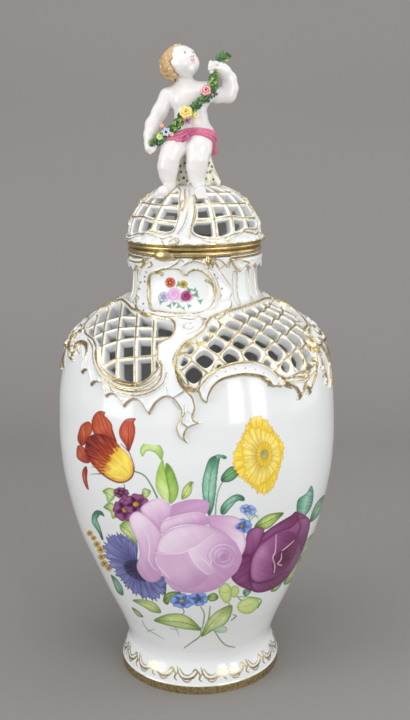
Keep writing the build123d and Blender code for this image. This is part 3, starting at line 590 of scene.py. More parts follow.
def paint_daisy(c):
    centre, wide, high = (1100, 372), 162, 244
    for ring, (count, reach, base) in enumerate(((24, 1.0, YELLOW), (20, 0.8, YELLOW_LIGHT))):
        for k in range(count):
            a = 2 * math.pi * (k + 0.5 * ring) / count
            r = reach * (0.93 + 0.09 * math.sin(5.3 * k + ring))
            half = math.pi / count * 1.25

            def at(angle, share):
                return (centre[0] + 30 * (1 - share) + math.cos(angle) * wide * share,
                        centre[1] + math.sin(angle) * high * share)

            outline = [at(a, 0.2), at(a - half, 0.6 * r), at(a - half * 0.95, 0.9 * r),
                       at(a - half * 0.4, 1.0 * r), at(a, 0.95 * r), at(a + half * 0.4, 1.01 * r),
                       at(a + half * 0.95, 0.88 * r), at(a + half, 0.6 * r)]
            c.shape(outline, ((214, 178, 84), base, (246, 216, 84)), at(a, 0.2), at(a, r), YELLOW_DARK, 3.5,
                    34, seed=60 + k + 30 * ring, grain=6.0)
            for turn in (-0.25, 0.3):
                c.stroke((at(a, 0.35), at(a + half * turn, 0.8 * r)), (1.2, 0.8), (206, 170, 60), 0.5)
    heart = (1134, 366)
    c.glow(heart, 92, (176, 172, 110), 0.55)
    for k in range(16):
        a = 2 * math.pi * k / 16
        b = (heart[0] + 48 * math.cos(a), heart[1] + 78 * math.sin(a))
        c.shape([(heart[0] + 22 * math.cos(a - 0.2), heart[1] + 34 * math.sin(a - 0.2)),
                 (heart[0] + 44 * math.cos(a - 0.22), heart[1] + 70 * math.sin(a - 0.22)), b,
                 (heart[0] + 44 * math.cos(a + 0.22), heart[1] + 70 * math.sin(a + 0.22)),
                 (heart[0] + 22 * math.cos(a + 0.2), heart[1] + 34 * math.sin(a + 0.2))],
                ((222, 184, 40), (244, 210, 56)), heart, b, (190, 150, 50), 3, 12, seed=k)
    c.shape([(heart[0] + 24 * math.cos(a), heart[1] + 30 * math.sin(a)) for a in np.linspace(0, 6.28,
            9)[:-1]], ((150, 156, 110), (206, 196, 120)), (1116, 350), (1154, 386), (160, 140, 70), 6, 20,
            seed=3)


def paint_tulip(c):
    petals = (
        (((0, 200), (24, 172), (56, 164), (74, 192), (72, 230), (52, 262), (34, 300), (6, 310), (-16, 270)),
         (40, 300), (30, 170)),
        (((-14, 312), (24, 322), (40, 372), (62, 410), (44, 420), (12, 412), (-20, 380)), (50, 400),
         (-10, 320)),
        (((76, 216), (72, 160), (92, 116), (122, 98), (156, 104), (150, 126), (166, 140), (194, 176),
          (202, 214), (214, 250), (226, 298), (180, 290), (120, 262), (88, 240)), (200, 290), (120, 100)),
        (((344, 146), (332, 168), (340, 210), (334, 262), (318, 310), (300, 348), (276, 306), (248, 264),
          (240, 224), (252, 186), (280, 150), (316, 142)), (300, 340), (300, 146)),
        (((14, 470), (34, 438), (46, 462), (44, 520), (54, 582), (36, 566), (18, 524)), (40, 440),
         (40, 580)),
    )
    for k, (outline, start, end) in enumerate(petals):
        c.shape(outline, ((152, 50, 30), (196, 92, 60), (186, 80, 52)), start, end, (110, 34, 22), 5, 40,
                seed=80 + k, grain=6.0)
        c.stroke((start, tuple(np.mean(outline, 0)), end), (2, 2, 1), (112, 36, 24), 0.7)
    cup = ((34, 300), (52, 258), (96, 238), (150, 244), (196, 268), (232, 300), (272, 350), (310, 396),
           (330, 446), (322, 496), (286, 530), (236, 536), (176, 512), (116, 470), (66, 416), (32, 350))
    c.shape(cup, ((112, 26, 18), (150, 48, 28), (190, 96, 40), (232, 190, 70), (244, 216, 90)), (90, 270),
            (290, 470), (120, 34, 22), 5, 60, fan=(330, 520), seed=90, grain=7.0)
    patch = ((206, 330), (244, 322), (288, 356), (320, 408), (322, 462), (300, 508), (252, 526), (196, 506),
             (158, 474), (184, 452), (164, 424), (192, 398), (178, 366), (204, 360))
    c.shape(patch, ((236, 190, 60), (246, 222, 96), (236, 204, 84)), (180, 370), (300, 500), (214, 150, 50),
            5, 26, fan=(330, 520), seed=91)
    for k in range(10):
        a = math.radians(122 + 7.0 * k)
        b = (322 + 176 * math.cos(a), 470 - 150 * math.sin(a))
        t = (322 + (238 + 26 * math.sin(3 * k)) * math.cos(a), 470 - (196 + 18 * math.cos(5 * k))
             * math.sin(a))
        c.stroke((b, t), (4.5, 1.0), (118, 30, 20), 0.7)
    c.stroke(((318, 392), (334, 446), (322, 500), (284, 532), (232, 538), (170, 512), (112, 468)),
             (2, 3, 3, 2), (96, 24, 18), 0.9)
    c.stroke(((250, 300), (300, 350), (322, 400)), (2, 3, 2), (96, 24, 18), 0.8)


def paint_purple_rose(c):
    c.shape(((1010, 900), (1120, 850), (1230, 800), (1340, 760), (1380, 830), (1330, 1000), (1230, 1120),
             (1100, 1180), (1010, 1150), (960, 1080)),
            ((112, 50, 92), (100, 40, 82)), (1010, 900), (1200, 1150), (92, 34, 74), 8, 8, seed=30)
    c.shape(((1110, 890), (1150, 835), (1230, 780), (1296, 742), (1332, 716), (1396, 748), (1414, 792),
             (1390, 900), (1348, 1000), (1292, 1100), (1222, 1170), (1130, 1212), (1060, 1206),
             (1056, 1150)),
            (PURPLE_DARK, PURPLE, (150, 84, 132)), (1080, 1180), (1340, 740), (110, 48, 92), 12, 16,
            seed=31)
    c.shape(((1300, 740), (1336, 722), (1344, 770), (1290, 820), (1210, 850), (1128, 900), (1116, 880),
             (1160, 826), (1230, 784)), ((150, 84, 136), (120, 54, 100)), (1180, 820), (1300, 800),
            (92, 34, 74), 8, 14, seed=32)
    c.shape(((1344, 764), (1396, 750), (1414, 792), (1392, 880), (1360, 960), (1346, 900), (1336, 850),
             (1352, 812)), ((160, 96, 146), (108, 44, 88)), (1390, 770), (1350, 930), (84, 28, 66), 8, 14,
            seed=33)
    c.shape(((1018, 888), (1040, 832), (1092, 810), (1130, 822), (1128, 852), (1110, 900), (1076, 960),
             (1030, 996), (1004, 960)), ((168, 108, 152), (126, 60, 108)), (1040, 830), (1060, 980),
            (100, 40, 80), 9, 16, seed=34)
    c.shape(((1000, 990), (1046, 980), (1058, 1040), (1044, 1120), (1064, 1200), (1000, 1184), (950, 1152),
             (930, 1112), (964, 1050)), ((140, 72, 124), (120, 52, 100)), (940, 1120), (1060, 1060),
            (88, 30, 70), 9, 18, seed=35)
    c.shape(((1050, 1060), (1068, 986), (1124, 912), (1206, 856), (1288, 838), (1342, 856), (1348, 902),
             (1312, 1004), (1244, 1088), (1164, 1134), (1092, 1152), (1054, 1124)),
            ((190, 134, 176), (160, 96, 146), (128, 60, 110), (104, 40, 84)), (1080, 960), (1290, 1020),
            (126, 62, 112), 8, 14, seed=36)
    c.shape(((1186, 1010), (1244, 950), (1306, 900), (1344, 892), (1330, 960), (1290, 1040), (1234, 1090),
             (1188, 1094)), ((118, 50, 92), (92, 30, 66), (116, 52, 90)), (1190, 1060), (1330, 920),
            (108, 44, 84), 10, 22, seed=37)
    c.shape(((1056, 1150), (1110, 1156), (1180, 1136), (1236, 1098), (1290, 1090), (1222, 1168),
             (1134, 1210), (1064, 1206)), ((150, 84, 134), (118, 52, 98)), (1080, 1150), (1140, 1210),
            (92, 34, 74), 7, 16, seed=38)
    for line in (((1206, 858), (1204, 920), (1200, 965), (1186, 1000), (1198, 1050), (1194, 1092)),
                 ((1316, 896), (1280, 928), (1244, 956)), ((1240, 972), (1236, 1010), (1216, 1036)),
                 ((1214, 1040), (1240, 1048))):
        c.stroke(line, (2, 3.5, 3), (236, 214, 230), 0.85)
    c.glow((1120, 960), 60, (204, 156, 194), 0.5)


def paint_pink_rose(c):
    petals = (
        (((555, 690), (600, 662), (680, 642), (770, 646), (796, 668), (790, 706), (760, 740), (700, 728),
          (620, 738), (556, 760)), (PINK_DARK, (206, 160, 200)), (560, 740), (780, 660)),
        (((374, 692), (418, 656), (475, 636), (530, 650), (562, 694), (556, 740), (510, 778), (492, 838),
          (446, 780), (384, 728)), (PINK_LIGHT, PINK, PINK_DARK), (430, 650), (500, 820)),
        (((786, 744), (858, 740), (942, 746), (992, 776), (954, 812), (1006, 850), (1022, 906), (1006, 968),
          (974, 1004), (950, 930), (890, 864), (792, 800)), ((206, 164, 200), PINK, PINK_LIGHT), (820, 800),
         (1000, 850)),
        (((490, 834), (502, 782), (560, 756), (622, 738), (702, 722), (762, 734), (802, 790), (722, 802),
          (640, 796), (560, 818), (512, 856)), (PINK_LIGHT, PINK, PINK_DARK), (600, 740), (640, 830)),
        (((500, 1084), (536, 1130), (600, 1172), (690, 1206), (740, 1218), (640, 1214), (574, 1196),
          (534, 1150)), (PINK, PINK_DARK), (520, 1100), (680, 1210)),
        (((690, 1196), (800, 1150), (900, 1094), (988, 1016), (966, 1082), (902, 1142), (864, 1180),
          (784, 1212), (700, 1220)), (PINK_LIGHT, PINK, PINK_DARK), (900, 1080), (860, 1190)),
        (((305, 748), (343, 716), (392, 730), (440, 772), (486, 830), (502, 884), (480, 950), (462, 1004),
          (480, 1060), (502, 1108), (472, 1146), (420, 1148), (374, 1112), (348, 1052), (366, 986),
          (360, 920), (330, 860), (306, 800)),
         (PINK_LIGHT, PINK, (204, 160, 198)), (330, 780), (490, 1040)),
    )
    for k, (outline, colours, start, end) in enumerate(petals):
        c.shape(outline, colours, start, end, (192, 144, 186), 7, 9, seed=100 + k, grain=14.0)
    body = ((468, 968), (480, 902), (520, 850), (590, 812), (680, 796), (762, 800), (850, 828), (930, 880),
            (976, 940), (996, 1010), (962, 1080), (902, 1140), (820, 1182), (740, 1202), (640, 1192),
            (560, 1152), (500, 1092), (474, 1030))
    c.shape(body, (PINK_LIGHT, PINK, (208, 166, 202), PINK_DARK), (560, 850), (900, 1160), (196, 150, 190),
            9, 8, seed=110, grain=16.0)
    c.shape(((470, 966), (560, 976), (640, 966), (664, 958), (700, 1030), (742, 1076), (790, 1110),
             (720, 1180), (640, 1186), (560, 1148), (502, 1090), (474, 1030)),
            ((214, 174, 208), (220, 184, 214), (196, 150, 190)), (560, 980), (660, 1180), None, 8, 8,
            seed=111, grain=16.0, alpha=0.8)
    c.shape(((664, 956), (720, 930), (770, 892), (826, 852), (900, 866), (950, 930), (880, 918), (820, 940),
             (796, 990), (812, 1046), (846, 1082), (790, 1108), (740, 1074), (698, 1026)),
            (PINK_LIGHT, PINK, (204, 160, 198)), (700, 960), (900, 1000), None, 8, 8, seed=112, grain=14.0,
            alpha=0.75)
    c.shape(((356, 860), (392, 812), (430, 800), (462, 852), (470, 900), (446, 960), (430, 1020),
             (452, 1070), (478, 1100), (440, 1060), (408, 1010), (404, 940), (380, 900)),
            ((228, 200, 224), (204, 160, 200)), (400, 830), (440, 1060), None, 6, 8, seed=113, alpha=0.7)
    centre = (880, 990)
    for reach, dark in ((92, 0.0), (76, 0.25), (60, 0.45), (44, 0.7), (28, 0.9)):
        ring = [(centre[0] + reach * (1 + 0.08 * math.sin(3 * a + reach)) * math.cos(a),
                 centre[1] + reach * 0.86 * (1 + 0.06 * math.cos(2 * a + reach)) * math.sin(a))
                for a in np.linspace(0, 2 * math.pi, 11)[:-1]]
        tone = tuple(np.array((212, 172, 206)) * (1 - dark) + np.array((186, 136, 182)) * dark)
        c.shape(ring, (PINK_LIGHT, tone, tone), (centre[0] - reach, centre[1] - reach * 0.6),
                (centre[0] + reach * 0.6, centre[1] + reach * 0.6), (190, 142, 186), 6, 8, seed=int(reach))
    for k, (reach, start, span) in enumerate(((84, 200, 150), (70, 20, 160), (56, 160, 190), (42, 330, 170),
                                              (28, 120, 220))):
        arc = [(centre[0] + reach * math.cos(math.radians(start + span * t)),
                centre[1] + reach * 0.86 * math.sin(math.radians(start + span * t))) for t in np.linspace(0,
                        1, 7)]
        c.stroke(arc, (1, 2.6, 1), (236, 214, 232), 0.7)
    edges = (
        ((460, 970), (540, 978), (620, 972), (664, 956), (712, 934), (764, 898), (828, 852)),
             ((664, 958), (690, 1010), (732, 1062), (788, 1106)), ((736, 998), (782, 1034), (812, 1074)),
        ((470, 1040), (510, 1084), (552, 1130)), ((500, 776), (560, 754), (640, 734), (720, 722),
                                                  (764, 734)), ((562, 694), (548, 664), (500, 642),
                                                                (450, 642)),
        ((396, 834), (420, 880), (428, 950), (424, 1010), (450, 1060), (480, 1080)),
             ((796, 1000), (808, 1024), (802, 1046)), ((930, 884), (980, 900), (1010, 930)),
             ((504, 856), (560, 822), (640, 800), (720, 800)),
    )
    for k, line in enumerate(edges):
        c.stroke(line, (1.5, 4.0, 1.5), (244, 230, 240), 0.75)
    c.glow((560, 900), 70, (234, 212, 230), 0.4)
    c.glow((640, 1110), 90, (226, 196, 220), 0.3)


def paint_bouquet(canvas):
    paint_leaves(canvas)
    paint_small_flowers(canvas)
    paint_cornflower(canvas)
    paint_daisy(canvas)
    paint_tulip(canvas)
    paint_purple_rose(canvas)
    paint_foot_of_bouquet(canvas)
    paint_pink_rose(canvas)


# The body's outline: height above the foot and radius, in millimetres
PROFILE = ((0, 66), (6, 66), (8, 65.2), (14, 63.8), (20, 61.4), (24, 60.2), (27, 60.0), (31, 60.5),
           (36, 61.9), (50, 67.4), (70, 76.5), (95, 86.8), (120, 96.9), (145, 103.6),
           (170, 108.4), (190, 110.3), (205, 110.7), (220, 110.2), (235, 109.4), (250, 107.2), (262, 104.6),
           (272, 101), (280, 96), (288, 87.5), (296, 75.5), (304, 60.2),
           (312, 51.4), (322, 49.1), (335, 49.0), (343, 49.6), (346.4, 49.9))
SHOULDER_TOP = 312.0  # height from which s runs down the wall
ROW = 0.5


def profile_line(points):
    line = curve(points, steps=24)
    keep = np.concatenate([[True], np.diff(line[:, 0]) > 1e-6])
    return line[keep]


class Wall:
    """A wall of revolution by s, the distance down it from a given height."""

    def __init__(self, line, start):
        run = np.concatenate([[0], np.cumsum(np.hypot(*np.diff(line, axis=0).T))])
        top = np.interp(start, line[:, 0], run)
        self.s = (top - run)[::-1]
        self.z, self.r = line[::-1, 0], line[::-1, 1]

    def at(self, s):
        z, r = np.interp(s, self.s, self.z), np.interp(s, self.s, self.r)
        step_s = 0.6
        dz = np.interp(s + step_s, self.s, self.z) - np.interp(s - step_s, self.s, self.z)
        dr = np.interp(s + step_s, self.s, self.r) - np.interp(s - step_s, self.s, self.r)
        size = np.hypot(dz, dr)
        return z, r, -dz / size, dr / size  # height, radius, and the normal outwards and upwards

    def down(self, z):
        return np.interp(-z, -self.z, self.s)


WALL = Wall(profile_line(PROFILE), SHOULDER_TOP)
FOOT_S = float(WALL.s.max())
BORDER_REACH = 26  # how far above the foot's edge the border's finer rows begin
FRONT_COSINE = 0.18  # the front is where the azimuth's cosine is larger


def turned_points(wall, phi, s, lift):
    """Points on a wall at azimuths phi in degrees and distances s, lifted off it."""
    z, r, nr, nz = wall.at(s)
    a = np.radians(phi)
    reach = r + lift * nr
    return np.stack([reach * np.sin(a), -reach * np.cos(a), z + lift * nz], -1)


def wrap_points(phi, s, lift):
    return turned_points(WALL, phi, s, lift)


FOOT_MM_TO_DEGREE = 1.09  # millimetres round the foot to a degree
FOOT_SCROLLS = 20
FOOT_BORDER_LOW, FOOT_BORDER_HIGH = 7, 24  # heights that the border lies between


def foot_border(phi, s, canvas):
    """The gilded border of C-scrolls round the foot, twenty repeats of them."""
    z = np.interp(s, WALL.s, WALL.z)
    x = phi * FOOT_MM_TO_DEGREE
    w = np.flatnonzero((z > FOOT_BORDER_LOW) & (z < FOOT_BORDER_HIGH))
    xs, zs = x.ravel()[w], z.ravel()[w]
    pitch = 360 * FOOT_MM_TO_DEGREE / FOOT_SCROLLS
    u = np.mod(xs, pitch)
    gold = np.zeros(len(w))
    for line, widths in ((((1, 18), (4, 13.4), (9, 12), (14, 13.6), (17, 17.4), (15.4, 19.2), (13.6, 17.6)),
                          (0.5, 0.9, 0.6)),
                         (((2.6, 19.4), (6, 15.6), (9.6, 14.8), (13, 16.6)), (0.3, 0.55, 0.3)),
                         (((17.2, 18.4), (19.2, 15.0), (18.6, 12.2), (20.6, 10.4)), (0.4, 0.75, 0.3)),
                         (((5, 12.2), (7, 10.2), (10, 9.8), (12.4, 11.4)), (0.25, 0.5, 0.25)),
                         (((0.4, 20.6), (1.4, 17.2), (0.2, 14.2)), (0.3, 0.7, 0.3))):
        path = curve(line)
        for shift in (-pitch, 0, pitch):
            gap, along, _ = line_distance(u + shift, zs, path)
            half = np.interp(along, np.linspace(0, 1, len(widths)), widths)
            gold = np.maximum(gold, step(0.25, -0.25, gap - half))
    canvas.gold[w] = np.maximum(canvas.gold[w], gold)


REAR_STEPS = 8.0  # steps to a millimetre on the rear of the belly
REAR_GREEN, REAR_DARK = (160, 196, 132), (84, 132, 84)


def paint_scatter(canvas):
    """A spray of garden flowers and two scattered buds on the rear."""
    for stalk in (((0, 860), (-40, 700), (-30, 560)), ((20, 850), (140, 700), (210, 560)),
                  ((0, 840), (-160, 720), (-250, 640)), ((10, 880), (60, 1020), (40, 1120))):
        canvas.stroke(stalk, (5, 4, 3), REAR_DARK, 0.85)
    for x, y, reach, turn in ((-130, 600, 120, 200), (120, 560, 120, -40), (-300, 760, 130, 170),
                              (300, 700, 130, 10), (-180, 900, 120, 140), (180, 920, 120, 40),
                              (60, 420, 110, -70), (-60, 1040, 110, 120),
                              (460, 260, 70, -20), (-430, 300, 70, 200)):
        a = math.radians(turn)
        tip = (x + reach * math.cos(a), y + reach * math.sin(a))
        out = (0.3 * reach * math.sin(a), -0.3 * reach * math.cos(a))
        mid = ((x + tip[0]) / 2, (y + tip[1]) / 2)
        canvas.leaf(((x, y), (mid[0] + out[0], mid[1] + out[1]), tip, (mid[0] - out[0], mid[1] - out[1])),
                    ((x, y), mid, tip), REAR_GREEN, REAR_DARK, 3, 7)
    for x, y, radius, petals, light, dark, heart in (
        (-20, 660, 150, 8, (226, 190, 218), (176, 112, 168), ((240, 214, 120), (190, 150, 60))),
        (230, 540, 105, 6, (244, 216, 110), (208, 158, 44), ((190, 130, 50), (140, 90, 30))),
        (-260, 620, 105, 6, (186, 196, 232), (92, 104, 178), ((240, 214, 120), (190, 150, 60))),
        (-70, 470, 80, 5, (226, 132, 104), (172, 62, 44), ((240, 214, 120), (190, 150, 60))),
        (130, 800, 80, 5, (196, 120, 178), (126, 52, 112), ((240, 214, 120), (190, 150, 60))),
        (440, 230, 56, 5, (226, 190, 218), (176, 112, 168), ((240, 214, 120), (190, 150, 60))),
        (-410, 270, 56, 5, (244, 216, 110), (208, 158, 44), ((190, 130, 50), (140, 90, 30))),
    ):
        canvas.blossom((x, y), radius, petals, light, dark, heart, 1.0, 0.0, 3)


def build_belly():
    """The plain wall below the pierced shoulder, painted back and front."""
    dense, plain = 0.27, 1.2  # degrees between columns on the painted sides and elsewhere
    phi = np.concatenate([np.arange(-78, 78, dense), np.arange(78, 132, plain),
                          np.arange(132, 228, dense * 1.6), np.arange(228, 282, plain)])
    s = np.concatenate([np.arange(SHOULDER_LOW, FOOT_S - BORDER_REACH, ROW),
                        np.arange(FOOT_S - BORDER_REACH, FOOT_S + 0.01, 0.4)])
    S, PHI = np.meshgrid(s, phi, indexing="ij")
    points = wrap_points(PHI, S, 0.0)
    px, py = seen_at(points)
    front = np.cos(np.radians(PHI)) > FRONT_COSINE
    canvas = Canvas((px - BOUQUET_LEFT) * BOUQUET_STEPS, (py - BOUQUET_TOP) * BOUQUET_STEPS, front)
    paint_bouquet(canvas)
    rear = Canvas((PHI - 180) * REAR_STEPS * 1.8, (S - SHOULDER_LOW) * REAR_STEPS, ~front)
    paint_scatter(rear)
    behind = ~front.ravel()
    canvas.colour[behind] = rear.colour[behind]
    foot_border(PHI, S, canvas)
    z = points[..., 2].ravel()
    canvas.gold = np.maximum(canvas.gold, step(6.9, 6.4, z))
    faces = grid_faces(len(s), len(phi), True)[:, ::-1]
    skin = mesh_object("belly", points, faces, "vase", GLAZE, canvas.colour, canvas.gold)
    return skin


INSIDE_FOOT = ((65.6, 0.0), (60.5, 0.0), (57.6, 14.0), (54.6, 22.0), (50.0, 26.0), (0.3, 26.6))
CHAMBER_FLOOR = ((0.3, 35.0), (50.0, 35.0), (54.6, 37.0))
SHELL_WALL = 5.5
INSIDE_COLUMNS = 160


def build_inside():
    """The hollow under the foot and the glazed chamber inside the belly."""
    z = np.arange(40.0, 252.0, 6.0)
    s = WALL.down(z)
    _, r, nr, nz = WALL.at(s)
    wall = np.stack([r - SHELL_WALL * nr, z - SHELL_WALL * nz], -1)
    parts = []
    phi = np.arange(INSIDE_COLUMNS) * 2 * math.pi / INSIDE_COLUMNS
    for name, line in (("foot_hollow", np.array(INSIDE_FOOT)),
                       ("chamber_glaze", np.vstack([CHAMBER_FLOOR, wall]))):
        points = np.stack([line[:, :1] * np.sin(phi), -line[:, :1] * np.cos(phi), line[:, 1:] + 0 * phi],
                          -1)
        white = plain(WHITE, points.shape[0] * points.shape[1])
        made = mesh_object(name, points, grid_faces(len(line), INSIDE_COLUMNS, True)[:, ::-1], "vase",
                           GLAZE, white, np.zeros(len(white)))
        parts.append(made)
    return parts


# Relief on a wall: lines and areas given by azimuth in degrees and distance s, repeated every turn
class Relief:
    """Heights, gilding and paint over a grid on a wall of revolution."""

    def __init__(self, wall, phi, s, turn):
        self.wall, self.turn = wall, turn
        self.s, self.phi = np.meshgrid(s, phi, indexing="ij")
        self.r = wall.at(self.s)[1]
        self.scale = self.r * math.pi / 180
        self.lift = np.zeros(self.s.shape)
        self.gold = np.zeros(self.s.shape)
        self.hole = np.full(self.s.shape, -99.0)
        self.cream = np.zeros(self.s.shape)
        self.dark = np.zeros(self.s.shape)

    def places(self, line, margin):
        """The grid places near a line, once for each repeat, with azimuths moved to it."""
        low, high = line.min(0), line.max(0)
        wide = margin / self.scale.min()
        for shift in (-2 * self.turn, -self.turn, 0, self.turn, 2 * self.turn):
            phi = self.phi + shift
            w = np.nonzero((phi > low[0] - wide) & (phi < high[0] + wide) & (self.s > low[1] - margin)
                           & (self.s < high[1] + margin))
            if len(w[0]):
                yield w, phi[w], self.s[w], self.scale[w]

    def distance(self, phi, s, scale, line, closed=False):
        ends = np.roll(line, -1, 0) if closed else line[1:]
        starts = line if closed else line[:-1]
        lengths = np.hypot((ends - starts)[:, 0] * scale.mean(), (ends - starts)[:, 1])
        before = np.concatenate([[0], np.cumsum(lengths)[:-1]])
        best, along = np.full(phi.shape, 1e9), np.zeros(phi.shape)
        for (ap, a_s), (bp, bs), length, ahead in zip(starts, ends, lengths, before):
            dx, dy = (bp - ap) * scale, bs - a_s
            px, py = (phi - ap) * scale, s - a_s
            t = np.clip((px * dx + py * dy) / np.maximum(dx * dx + dy * dy, 1e-9), 0, 1)
            gap = np.hypot(px - t * dx, py - t * dy)
            better = gap < best
            best = np.where(better, gap, best)
            along = np.where(better, ahead + t * length, along)
        return best, along / max(lengths.sum(), 1e-9)

    def area(self, phi, s, scale, line):
        gap = self.distance(phi, s, scale, line, True)[0]
        return np.where(inside(phi, s, line), gap, -gap)

    def ridge(self, points, widths, height, gold=0.45, closed=False, smooth=True):
        """A rounded ridge along a line, with a gilt crest gold times as wide."""
        line = curve(points, closed) if smooth else np.asarray(points, float)
        for w, phi, s, scale in self.places(line, max(widths) + 2):
            gap, along = self.distance(phi, s, scale, line, closed)
            half = np.interp(along, np.linspace(0, 1, len(widths)), widths)
            share = np.clip(gap / half, 0, 1)
            self.lift[w] = np.maximum(self.lift[w], self.lift[w] * share + (height + 0.6 * self.lift[w])
                                      * np.sqrt(1 - share**2))
            if gold:
                self.gold[w] = np.maximum(self.gold[w], step(half * gold + 0.22, half * gold - 0.22, gap))

    def open_up(self, w, gap, hole, gold, cream, crest):
        """A lattice inside an outline: gap is the depth inside it, crest the lift of the bars."""
        self.hole[w] = np.maximum(self.hole[w], hole)
        within = step(0.0, 0.8, gap)
        self.gold[w] = np.maximum(self.gold[w], gold * within)
        self.cream[w] = np.maximum(self.cream[w], within * cream)
        level = step(-0.7, 1.1, gap)
        self.lift[w] = self.lift[w] * (1 - level) + crest * level

    def rolled_edge(self, w, gap, s):
        """The rolled, gilt edge that runs round the outside of an opening."""
        self.lift[w] += np.exp(-(((gap + FRAME_ROLL) / 0.9) ** 2))
        bold = np.interp(s, (20, 34), (0.8, 0.5))
        self.gold[w] = np.maximum(self.gold[w], step(0.25, 0.0, np.abs(gap + FRAME_ROLL) - bold))

    def groove(self, points, widths, depth, gold=0.0):
        line = curve(points)
        for w, phi, s, scale in self.places(line, max(widths) + 2):
            gap, along = self.distance(phi, s, scale, line)
            half = np.interp(along, np.linspace(0, 1, len(widths)), widths)
            self.lift[w] -= depth * step(half, half * 0.2, gap)
            if gold:
                self.gold[w] = np.maximum(self.gold[w], step(0.5, 0.15, np.abs(gap - half)) * gold)

    def raised(self, points, height, edge=1.6, gold=0.8, bulge=0.5, keep=None, sharp=False):
        """A raised area with a rolled, gilt edge."""
        line = np.asarray(points, float) if sharp else curve(points, True, 5)
        for w, phi, s, scale in self.places(line, 3):
            gap = self.area(phi, s, scale, line)
            share = np.clip(gap / edge, 0, 1)
            rise = height * np.sqrt(1 - (1 - share) ** 2)
            roll = bulge * np.exp(-(((gap - edge) / (0.8 * edge)) ** 2)) * (gap > 0)
            self.lift[w] = np.maximum(self.lift[w], rise + roll)
            if gold:
                band = step(gold + 0.2, gold - 0.2, gap) * step(-0.15, 0.1, gap)
                if keep is not None:
                    band = band * keep(phi, s)
                self.gold[w] = np.maximum(self.gold[w], band)

    def dot(self, phi, s, radius, height=0.0, gold=0.0, dark=0.0):
        line = np.array([(phi, s), (phi + 0.01, s)])
        for w, p, q, scale in self.places(line, radius + 2):
            far = np.hypot((p - phi) * scale, q - s) / radius
            self.lift[w] += height * np.sqrt(np.clip(1 - far**2, 0, 1))
            self.gold[w] = np.maximum(self.gold[w], gold * step(1.05, 0.85, far))
            self.dark[w] = np.maximum(self.dark[w], dark * step(1.2, 0.6, far))


def scalloped(points):
    """A line of cusps joined by arcs: places come as tip, crest of the arc, tip and so on."""
    out = []
    t = np.linspace(0, 1, 7, endpoint=False)[:, None]
    places = np.asarray(points, float)
    for a, b, c in zip(places[:-2:2], places[1:-1:2], places[2::2]):
        control = 2 * b - (a + c) / 2
        out.append(a * (1 - t) ** 2 + 2 * control * t * (1 - t) + c * t**2)
    return np.vstack(out + [places[-1:]])


FRAME_ROLL = 1.3  # how far outside an opening the rolled edge of its frame runs


def smooth_min(a, b, k):
    h = np.clip(0.5 + 0.5 * (b - a) / k, 0, 1)
    return b * (1 - h) + a * h - k * h * (1 - h)


def pierced_shell(name, relief, wall_thickness, body, colours, turns=2):
    """The wall with its openings cut out, its edges on the openings' outlines, and an inner face."""
    rows, columns = relief.s.shape
    wall = relief.wall
    hole = relief.hole
    step_phi = relief.phi[0, 1] - relief.phi[0, 0]
    step_s = relief.s[1, 0] - relief.s[0, 0]
    count = columns * turns
    hole_all = np.tile(hole, (1, turns))
    quads = grid_faces(rows, count, True)[:, ::-1]
    flat = hole_all.ravel()
    keep = flat[quads].mean(1) < 0
    quads = quads[keep]
    # Corners at an opening move onto its outline
    g_s = np.gradient(hole_all, axis=0) / step_s
    g_x = np.gradient(hole_all, axis=1) / step_phi / np.tile(relief.scale, (1, turns))
    used = np.zeros(flat.shape, int)
    np.add.at(used, quads.ravel(), 1)
    edge = (used > 0) & (used < 4) & (np.abs(flat) < 3)
    size = np.maximum(g_s**2 + g_x**2, 0.2).ravel()
    move = np.where(edge, -flat, 0) / size
    reach = 0.75
    d_s = np.clip(move * g_s.ravel(), -reach, reach)
    d_x = np.clip(move * g_x.ravel(), -reach, reach)
    first_row = np.arange(rows * count) < count
    last_row = np.arange(rows * count) >= (rows - 1) * count
    d_s[first_row | last_row] = 0
    d_x[first_row | last_row] = 0
    S = np.tile(relief.s, (1, turns)).ravel() + d_s
    PHI = np.concatenate([relief.phi + relief.turn * k for k in range(turns)], 1).ravel()
    PHI = PHI + d_x / np.tile(relief.scale, (1, turns)).ravel()
    lift = np.tile(relief.lift, (1, turns)).ravel()
    depth = np.where(flat > -60, np.clip(-flat, 0, None), 99)
    lift = lift - 0.9 * np.clip(1 - depth / 1.1, 0, 1) ** 2
    outer = turned_points(wall, PHI, S, lift)
    inner = turned_points(wall, PHI, S, np.full(S.shape, -wall_thickness))
    total = rows * count
    # Walls of the openings join the two faces
    sides = np.concatenate([quads[:, [0, 1]], quads[:, [1, 2]], quads[:, [2, 3]], quads[:, [3, 0]]])
    low, high = sides.min(1).astype(np.int64), sides.max(1).astype(np.int64)
    _, where, times = np.unique(low * total + high, return_index=True, return_counts=True)
    border = sides[where[times == 1]]
    joined = (np.stack([border[:, 1], border[:, 0], border[:, 0] + total, border[:, 1] + total], -1)
              + 2 * total)
    faces = np.concatenate([quads, quads[:, ::-1] + total, joined])
    points = np.concatenate([outer, inner, outer, inner])
    paint, gold = colours(PHI, S, outer)
    paint = np.concatenate([paint, plain(WHITE, 3 * total)])
    gold = np.concatenate([gold, np.zeros(3 * total)])
    used = np.zeros(4 * total, bool)
    used[faces.ravel()] = True
    number = np.cumsum(used) - 1
    shell = mesh_object(name, points[used], number[faces], body, GLAZE, paint[used], gold[used])
    return shell


def from_plane(points):
    """Azimuth and s of places on the wall given by x and height, in millimetres."""
    out = []
    for x, z in points:
        s = float(WALL.down(z))
        r = float(WALL.at(s)[1])
        out.append((math.degrees(math.asin(max(-0.999, min(0.999, x / r)))), s))
    return np.array(out)


